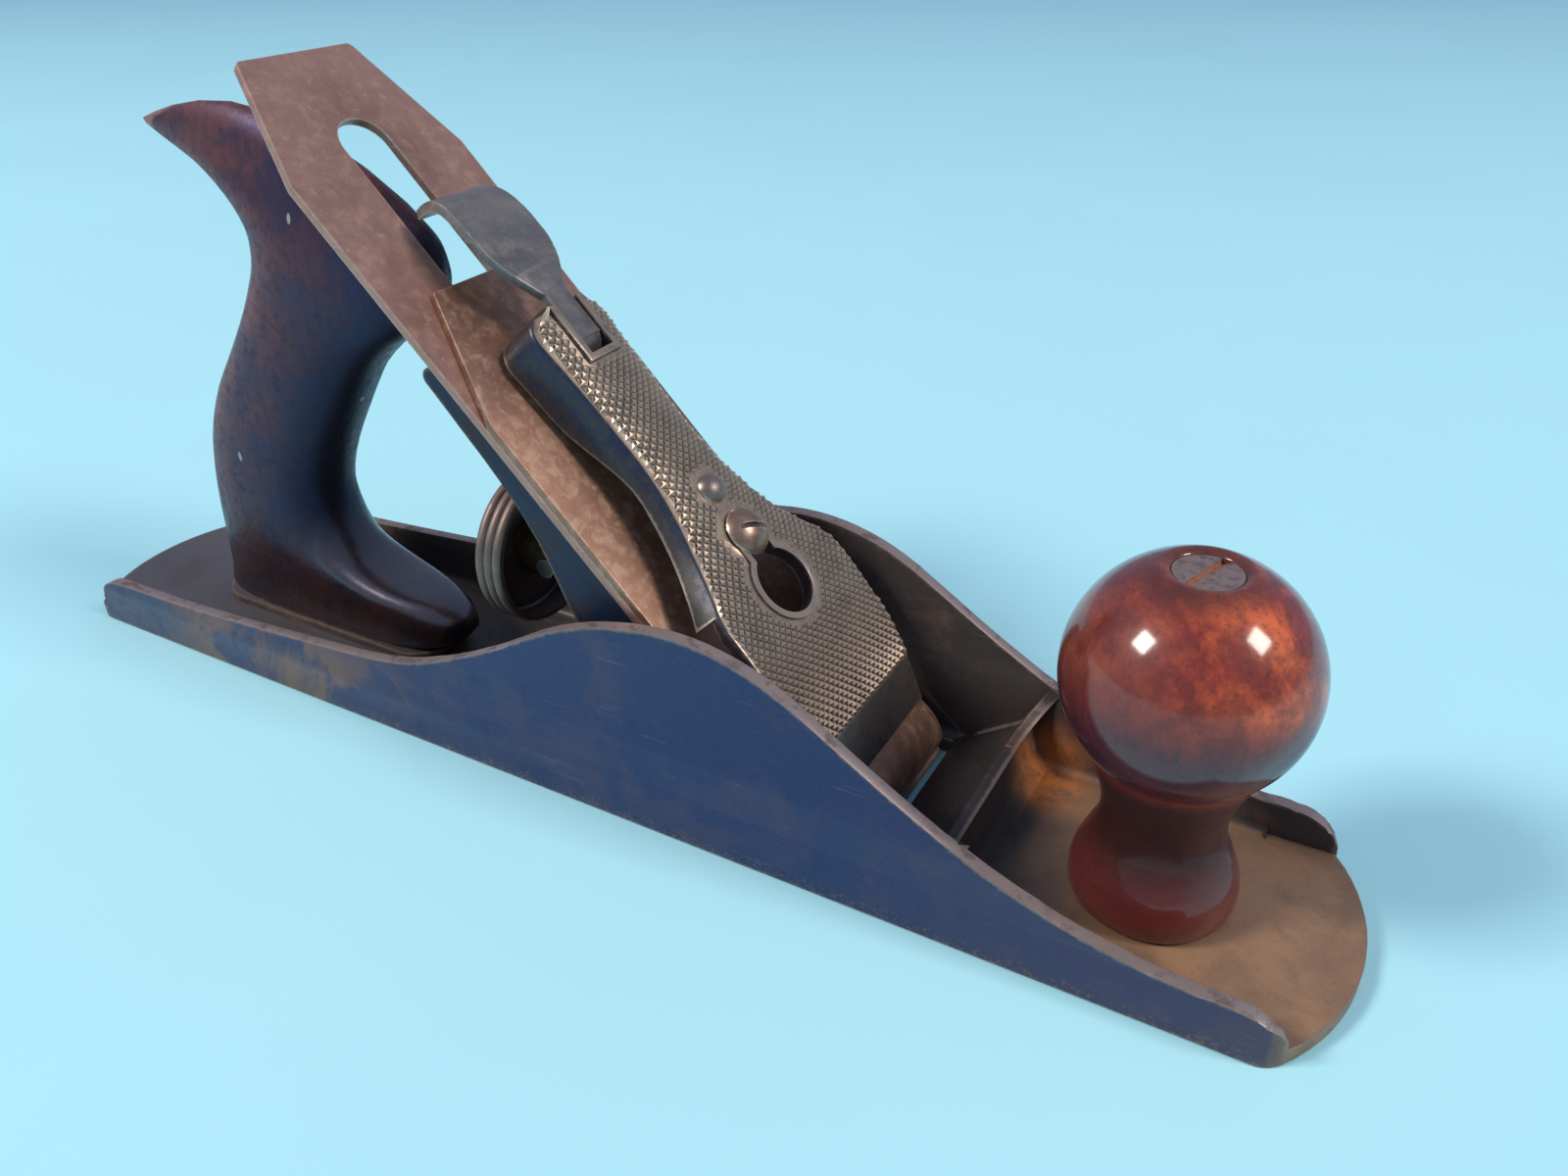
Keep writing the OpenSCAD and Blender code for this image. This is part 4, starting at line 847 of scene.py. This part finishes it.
def nut_finish():
    """Dark brown nuts with rust down in the slot."""
    made, tree, shader = new_finish("Nut steel")
    small = mask(tree, "Patches", Grain=0.6, Low=0.45, High=0.66, Shift=(2, 4, 5))
    shut = mask(tree, "Hollows", Reach=0.0035, Breakup=0.1, Grain=1.0)
    edges = mask(tree, "Worn edges", Reach=0.0005, Breakup=0.4, Grain=0.8)
    feed(tree, shader["Base Color"], layered(
        tree, blend(tree, small, (0.36, 0.265, 0.235), (0.22, 0.155, 0.135)),
        ((0.38, 0.29, 0.25), edges),
        (finishes().rust, shut)))
    feed(tree, shader["Metallic"], level(tree, shut, 0, 1, 0.7, 0.0))
    feed(tree, shader["Roughness"], level(tree, shut, 0, 1, 0.38, 0.85))
    bumps(tree, shader, grain(tree, place(tree), 1.8, 5.0, 0.65), 0.25, 0.0001)
    return made


# Pieces


def copied(node, body, slot, material, width=0.0, name=None, angle=28, sharp=32):
    """A piece with the frame's own shape, its edges rounded and its curves shaded smooth."""
    piece = from_frame(node, name or node.capitalize())
    if width:
        soften(piece, width, sharp)
    shade(piece, angle)
    return finish(piece, body, slot, material, node)


def measured(node):
    """Ends of a node along X and its radius, in millimetres."""
    low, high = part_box(node)
    return TO_MM * low.x, TO_MM * high.x, TO_MM * (high.z - low.z) / 2


def about_stud(name, profile, steps):
    """A piece turned about the stud's axis from a profile of [radius, place along X]."""
    return turned(name, profile, steps, (0, 0, STUD_Z * MM), (1, 0, 0), (0, 0, 1))


class DressCasting(bpy.types.Operator):
    """The body casting, with rounded edges and its worn paint."""

    bl_idname = "jackplane.body_casting"
    bl_label = "Body casting"

    def execute(self, context):
        copied("body", "plane", "casting", casting_finish(), sizes().casting_round, name="Body_casting")
        return {"FINISHED"}


class DressFrog(bpy.types.Operator):
    """The frog with its screws and washers."""

    bl_idname = "jackplane.frog"
    bl_label = "Frog"

    def execute(self, context):
        frog_round = 0.00015
        steel = steel_finish("Screw steel", (0.17, 0.135, 0.12), (0.32, 0.27, 0.24), (0.07, 0.054, 0.048))
        copied("frog", "plane", "casting", frog_finish(), frog_round, name="Frog_casting", sharp=60)
        for node in ("frog_screws", "frog_washers"):
            copied(node, "plane", "fasteners", steel, sizes().sheet_round)
        return {"FINISHED"}


class DressAdjuster(bpy.types.Operator):
    """The threaded stud, the bush, the wheel and the rocking fork."""

    bl_idname = "jackplane.depth_adjuster"
    bl_label = "Depth adjuster"

    def execute(self, context):
        # the adjuster's steel, wheel and bush get strong painted shade where they close in on each other
        steel = steel_finish("Adjuster steel", (0.10, 0.078, 0.068), (0.24, 0.19, 0.16), (0.045, 0.034, 0.03),
                             hollow_shade=0.9)
        dull = steel_finish("Wheel metal", (0.25, 0.175, 0.15), (0.40, 0.30, 0.25), (0.13, 0.092, 0.080),
                            roughness=0.46, metal=0.5, hollow_shade=0.8)
        brass = steel_finish("Bush brass", (0.24, 0.155, 0.06), (0.48, 0.34, 0.15), (0.09, 0.055, 0.026),
                             metal=0.8, hollow_shade=0.9)
        finish(shade(self.stud(), 40), "plane", "fasteners", steel, "adjusting_stud")
        copied("wheel_bush", "bush", "brass", brass, sizes().sheet_round)
        finish(shade(self.wheel(), 42), "wheel", "wheel", dull, "adjusting_wheel")
        copied("yoke_lever", "yoke", "casting", steel, sizes().sheet_round, name="Yoke_fork")
        copied("yoke_pin", "plane", "fasteners", steel, sizes().sheet_round)
        return {"FINISHED"}

    def stud(self):
        """The stud: chamfered at its free end, with ridges for a thread, and plain toward the frog."""
        start, end, radius = measured("adjusting_stud")
        chamfer, plain_end = 0.8, 9.0
        root, crest, shank = radius - 0.45, radius - 0.02, radius - 0.05
        pitch = TO_MM * sizes().thread_pitch
        ridges = int((end - start - plain_end) / pitch)
        profile = [[0, start], [radius - chamfer, start]]
        for i in range(ridges):
            at = start + chamfer + i * pitch
            profile += [[root, at], [crest, at + pitch * 0.35], [crest, at + pitch * 0.6]]
        runout = start + chamfer + ridges * pitch
        profile += [[root, runout], [shank, runout + chamfer], [shank, end], [0, end]]
        return about_stud("Depth_stud", profile, 40)

    def wheel(self):
        """The wheel: a thin cup with three rolled ridges."""
        back, front, outer = measured("adjusting_wheel")
        bore, wall = 6.05, 1.4
        ridges, half_steps, swing = 3, 5, math.radians(54)
        ridge = (front - back) / ridges
        crest = ridge * 0.62
        groove = outer - crest
        inner = groove - wall + 1.2
        rolled = []
        for i in range(ridges):
            middle = back + (i + 0.5) * ridge
            for k in range(-half_steps, half_steps + 1):
                a = k / half_steps * swing
                across = ridge / 2 * math.sin(a) / math.sin(swing)
                rolled.append([groove + crest * math.cos(a), middle + across])
        profile = [[bore, back], [groove - 0.6, back], [groove - 0.1, back + 0.2]] + rolled
        profile += [[groove - 0.2, front - 0.05], [inner + 0.1, front - 0.05], [inner, front - 0.2],
                    [inner, back + wall + 0.5], [inner - 0.5, back + wall], [bore, back + wall], [bore, back]]
        return about_stud("Depth_wheel", profile, 120)


class DressCutter(bpy.types.Operator):
    """The cutter, the cap iron and the screw that joins them."""

    bl_idname = "jackplane.cutter"
    bl_label = "Cutter and cap iron"

    def execute(self, context):
        turn = (0, BED_ANGLE, 0)
        plate = steel_finish("Cutter steel", finishes().cutter, (0.66, 0.45, 0.34), (0.28, 0.142, 0.112),
                             turn)
        copper = steel_finish("Cap iron steel", (0.33, 0.17, 0.112), (0.60, 0.41, 0.30), (0.20, 0.10, 0.068),
                              turn, cloud=0.5)
        screw = steel_finish("Cap iron screw steel", (0.20, 0.15, 0.125), (0.34, 0.27, 0.23),
                             (0.09, 0.066, 0.055))
        copied("iron", "cutter", "cutter", plate, sizes().sheet_round, name="Cutter")
        copied("cap_iron", "cutter", "cutter_cap", copper, sizes().sheet_round)
        copied("cap_iron_screw", "cutter", "fasteners", screw, sizes().sheet_round)
        return {"FINISHED"}


def ease(t, a, b):
    """A smooth step from 0 at a to 1 at b."""
    u = min(1.0, max(0.0, (t - a) / (b - a)))
    return u * u * (3 - 2 * u)


def cap_half(s):
    """Half width of the lever cap's face at a station along the bed, in millimetres."""
    far_out = 130.0
    wide = CAP_WIDE - CAP_TAPER * ease(s, CAP_RIDGE, TAPER_END)
    if s < SWEEP_START:
        arc = far_out
    elif s < CAP_WAIST:
        arc = CAP_NARROW + CAP_SWEEP - math.sqrt(max(0.0, CAP_SWEEP ** 2 - (CAP_WAIST - s) ** 2))
    else:
        arc = CAP_NARROW + (s - CAP_WAIST) ** 2 / CAP_FLATNESS
    side = -CAP_MELT * math.log(math.exp(-wide / CAP_MELT) + math.exp(-arc / CAP_MELT))
    past = max(0.0, s - CAP_END + CAP_CORNER)
    return side - (CAP_CORNER - math.sqrt(max(0.0, CAP_CORNER ** 2 - past ** 2)))


def spare_cell(s, y):
    """Whether a cell of the checkering isn't needed: off the face, or in a plain place."""
    lip_margin, end_margin, side_margin = 0.6, 0.7, 0.35
    if s < CAP_RIDGE + lip_margin or s > CAP_END - end_margin or y > cap_half(s) - side_margin:
        return True
    if any(math.hypot(s - at, y) < radius for at, radius in PLAIN_ROUND):
        return True
    return any(low < s < high and y < half for low, high, half in PLAIN_STRAIGHT)


class DressLeverCap(bpy.types.Operator):
    """The lever cap with its checkered face, its screw, spring and rivet."""

    bl_idname = "jackplane.lever_cap"
    bl_label = "Lever cap"

    def execute(self, context):
        bronze = cap_finish()
        steel = steel_finish("Spring steel", (0.14, 0.13, 0.14), (0.30, 0.28, 0.27), (0.06, 0.052, 0.052))
        dome = steel_finish("Screw dome", (0.40, 0.255, 0.19), (0.66, 0.48, 0.37), (0.22, 0.135, 0.10),
                            roughness=0.34, metal=0.75)
        blue_dome = steel_finish("Rivet dome", (0.30, 0.235, 0.205), (0.54, 0.45, 0.39), (0.15, 0.115, 0.10),
                                 metal=0.75)
        self.checkering()
        copied("lever_cap", "plane", "cap", bronze, sizes().casting_round * 0.6, angle=34)
        copied("lever_cap_screw", "plane", "fasteners", dome, sizes().sheet_round, angle=34)
        copied("cap_spring", "plane", "spring", steel)
        copied("spring_rivet", "plane", "fasteners", blue_dome, angle=34)
        copied("lever_pin", "plane", "fasteners", steel)
        return {"FINISHED"}

    def checkering(self):
        """Rows of small pyramids over the face, left out where the face is plain."""
        quilt = self.pyramids()
        if len(quilt.data.polygons) < FEWEST_PYRAMID_FACES:
            raise RuntimeError("the checkering lost most of its pyramids")
        quilt.data.materials.clear()
        quilt.data.materials.append(checker_finish())
        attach(quilt, "plane")
        clear_selection()

    def pyramids(self):
        """A quilt of pyramids in the bed's frame, laid on the cap's curved face and closed underneath."""
        count, lift, wall = 76, 0.00006, 0.0005
        steep, under_height = 0.75, 8
        merged, sliver = 0.0002, 0.0001
        middle = (CAP_RIDGE + CAP_END) / 2
        clear_selection()
        bpy.ops.mesh.primitive_grid_add(x_subdivisions=count, y_subdivisions=count,
                                        size=count * sizes().checker_pitch, location=(0, 0, 0))
        quilt = bpy.context.view_layer.objects.active
        quilt.name = "Lever_cap_checkering"
        quilt.data.name = "Lever_cap_checkering"
        edit(quilt)
        bpy.ops.transform.rotate(value=math.radians(45), orient_axis="Z", center_override=(0, 0, 0))
        done()
        # Only the cells over the face stay; those that reach over its edge are drawn in to it below
        select_faces(quilt, lambda c, n: spare_cell(middle + TO_MM * c.x, abs(TO_MM * c.y)))
        bpy.ops.mesh.delete(type="FACE")
        done()
        quilt.matrix_world = Matrix.Translation(on_bed(middle, CAP_HEIGHT + 1.5)) @ BED_TURN
        guide = from_frame("lever_cap", "Face_guide")
        under = on_bed(0, under_height)
        select_faces(guide, lambda c, n: n.dot(OFF_BED) < steep or (c - under).dot(OFF_BED) < 0)
        bpy.ops.mesh.delete(type="FACE")
        done()
        modify(quilt, "SHRINKWRAP", wrap_method="PROJECT", use_project_z=True, use_positive_direction=False,
               use_negative_direction=True, target=guide, offset=lift)
        modify(quilt, "SHRINKWRAP", wrap_method="NEAREST_SURFACEPOINT", wrap_mode="ABOVE_SURFACE",
               target=guide, offset=lift)
        settle(quilt)
        bpy.data.objects.remove(guide)
        edit(quilt)
        bpy.ops.mesh.remove_doubles(threshold=merged)
        bpy.ops.mesh.dissolve_degenerate(threshold=sliver)
        bpy.ops.mesh.delete_loose()
        bpy.ops.mesh.select_all(action="SELECT")
        bpy.ops.mesh.poke(offset=sizes().checker_height, center_mode="MEDIAN")
        done()
        modify(quilt, "SOLIDIFY", thickness=wall, offset=-1.0)
        return quilt


class DressCamLever(bpy.types.Operator):
    """The bent cam lever in blued steel."""

    bl_idname = "jackplane.cam_lever"
    bl_label = "Cam lever"

    def execute(self, context):
        blued = steel_finish("Cam lever steel", finishes().blued, (0.46, 0.39, 0.32), (0.085, 0.088, 0.105),
                             (0.5, BED_ANGLE, 0.9), roughness=0.36)
        copied("cam_lever", "lever", "lever", blued, sizes().sheet_round)
        return {"FINISHED"}


def rod_and_nut(handle, rod_finish_name):
    """The rod through a wooden handle, and the nut sunk in its top."""
    steel = steel_finish(rod_finish_name, (0.16, 0.13, 0.12), (0.30, 0.25, 0.22), (0.07, 0.055, 0.05))
    copied(handle + "_rod", "plane", "fasteners", steel)
    nut = bpy.data.materials.get("Nut steel") or nut_finish()
    copied(handle + "_nut", "plane", "nuts", nut, sizes().sheet_round)


class DressTote(bpy.types.Operator):
    """The tote with its rod and nut."""

    bl_idname = "jackplane.tote"
    bl_label = "Tote"

    def execute(self, context):
        copied("tote", "plane", "tote_wood", tote_finish(), angle=50)
        rod_and_nut("tote", "Rod steel")
        return {"FINISHED"}


class DressKnob(bpy.types.Operator):
    """The turned knob with its rod and nut."""

    bl_idname = "jackplane.knob"
    bl_label = "Knob"

    def execute(self, context):
        knob = turned("Knob", self.profile(), 128, (KNOB_X * MM, 0, 0), (0, 0, 1), (1, 0, 0))
        finish(shade(knob, 30), "plane", "knob_wood", knob_finish(), "knob")
        rod_and_nut("knob", "Knob rod steel")
        return {"FINISHED"}

    def profile(self):
        """The knob's outline from the foot over the ball, and down into the nut's recess."""
        radius = TO_MM * sizes().knob_ball / 2
        ball_depth = 23.2
        middle = KNOB_TOP - ball_depth
        low, high, steps = math.radians(-44), math.radians(69.5), 44
        ball = [[radius * math.cos(low + (high - low) * k / steps),
                 middle + radius * math.sin(low + (high - low) * k / steps)] for k in range(steps + 1)]
        foot = [[15.6, 0], [16.7, 1.4], [17.2, 5], [16.5, 9], [14.7, 13.4], [12.9, 17.9], [12.5, 22.3],
                [13.1, 26.5], [14.7, 31.3]]
        foot = smooth_line([[r, KNOB_FOOT + z] for r, z in foot] + ball[:1], 6)
        wall, floor = NUT_RADIUS + 0.05, NUT_SEAT - 0.02
        lip = smooth_line([ball[-1], [7.7, 80.98], [7.05, 80.75], [wall + 0.12, 80.3], [wall, 79.6]], 4)
        return [[0, KNOB_FOOT], [15.0, KNOB_FOOT]] + foot + ball[1:] + lip[1:] + [[wall, floor], [0, floor]]


class SetStage(bpy.types.Operator):
    """The pale paper, two soft lamps, an even sky and the camera."""

    bl_idname = "jackplane.stage"
    bl_label = "Stage"

    def execute(self, context):
        given = context.scene.plane_stage
        self.paper(given.floor)
        self.lamp("Key_lamp", KEY_WAY, given.key_power)
        self.lamp("Fill_lamp", FILL_WAY, given.fill_power)
        self.sky(context.scene, given.sky)
        self.camera(context.scene, given.lens)
        context.scene.view_settings.view_transform = "Standard"
        return {"FINISHED"}

    def paper(self, pale):
        """The pale paper just under the plane, wide enough to fill the picture."""
        wide, under = 14.0, 0.0002
        clear_selection()
        bpy.ops.mesh.primitive_plane_add(size=wide, location=(0, 0, -under))
        floor = bpy.context.view_layer.objects.active
        floor.name = "Paper_sweep"
        made, tree, shader = new_finish("Pale paper")
        fibre = mask(tree, "Patches", Grain=0.004, Low=0.35, High=0.65)
        shaded = tuple(0.92 * c for c in pale)
        feed(tree, shader["Base Color"], layered(tree, pale, (shaded, fibre, 0.25)))
        shader["Roughness"].default_value = 0.9
        shader["Specular IOR Level"].default_value = 0.1
        floor.data.materials.append(made)
        settle(floor)

    def lamp(self, name, way, power):
        """A square lamp that looks at the plane from one side."""
        data = bpy.data.lights.new(name, "AREA")
        data.shape = "SQUARE"
        data.size = LAMP_SIZE
        data.energy = power
        data.color = LAMP_COLOUR
        holder = bpy.data.objects.new(name, data)
        bpy.context.scene.collection.objects.link(holder)
        way = Vector(way).normalized()
        holder.location = Vector(LAMP_AIM) + way * LAMP_DISTANCE
        holder.rotation_euler = (-way).to_track_quat("-Z", "Y").to_euler()

    def sky(self, scene, strength):
        """Even light from all round."""
        scene.world = bpy.data.worlds.new("Even_sky")
        scene.world.use_nodes = True
        light = scene.world.node_tree.nodes["Background"].inputs
        light["Color"].default_value = (*SKY_COLOUR, 1)
        light["Strength"].default_value = strength

    def camera(self, scene, lens):
        """The camera, where the photo was taken from."""
        data = bpy.data.cameras.new("Photo_camera")
        data.lens = lens
        data.sensor_width = 36
        data.clip_start = 0.01
        holder = bpy.data.objects.new("Photo_camera", data)
        scene.collection.objects.link(holder)
        turn = Matrix((CAMERA_RIGHT, CAMERA_UP, CAMERA_BACK)).transposed().to_4x4()
        holder.matrix_world = Matrix.Translation(CAMERA_PLACE) @ turn
        scene.camera = holder


PIECES = (DressCasting, DressFrog, DressAdjuster, DressCutter, DressLeverCap, DressCamLever, DressTote,
          DressKnob, SetStage)


class PlanePanel(bpy.types.Panel):
    """Lists the steps that dress the plane, with its sizes and finishes."""

    bl_idname = "VIEW3D_PT_jackplane"
    bl_label = "Jack plane"
    bl_space_type = "VIEW_3D"
    bl_region_type = "UI"
    bl_category = "Jack plane"

    def draw(self, context):
        for step in PIECES:
            self.layout.operator(step.bl_idname)
        for held in (context.scene.plane_sizes, context.scene.plane_finishes, context.scene.plane_stage):
            for name in held.__annotations__:
                self.layout.prop(held, name)


CLASSES = (PlaneSizes, PlaneFinishes, PlaneStage, *PIECES, PlanePanel)


def register():
    """Registers the classes and hangs their values on the scene."""
    for made in CLASSES:
        bpy.utils.register_class(made)
    bpy.types.Scene.plane_sizes = bpy.props.PointerProperty(type=PlaneSizes)
    bpy.types.Scene.plane_finishes = bpy.props.PointerProperty(type=PlaneFinishes)
    bpy.types.Scene.plane_stage = bpy.props.PointerProperty(type=PlaneStage)


def unregister():
    """Takes the classes and values away again."""
    del bpy.types.Scene.plane_stage
    del bpy.types.Scene.plane_finishes
    del bpy.types.Scene.plane_sizes
    for made in reversed(CLASSES):
        bpy.utils.unregister_class(made)


def main():
    """Builds everything in order."""
    register()
    build_effects()
    bpy.ops.jackplane.body_casting()
    bpy.ops.jackplane.frog()
    bpy.ops.jackplane.depth_adjuster()
    bpy.ops.jackplane.cutter()
    bpy.ops.jackplane.lever_cap()
    bpy.ops.jackplane.cam_lever()
    bpy.ops.jackplane.tote()
    bpy.ops.jackplane.knob()
    bpy.ops.jackplane.stage()


if __name__ == "__main__":
    main()
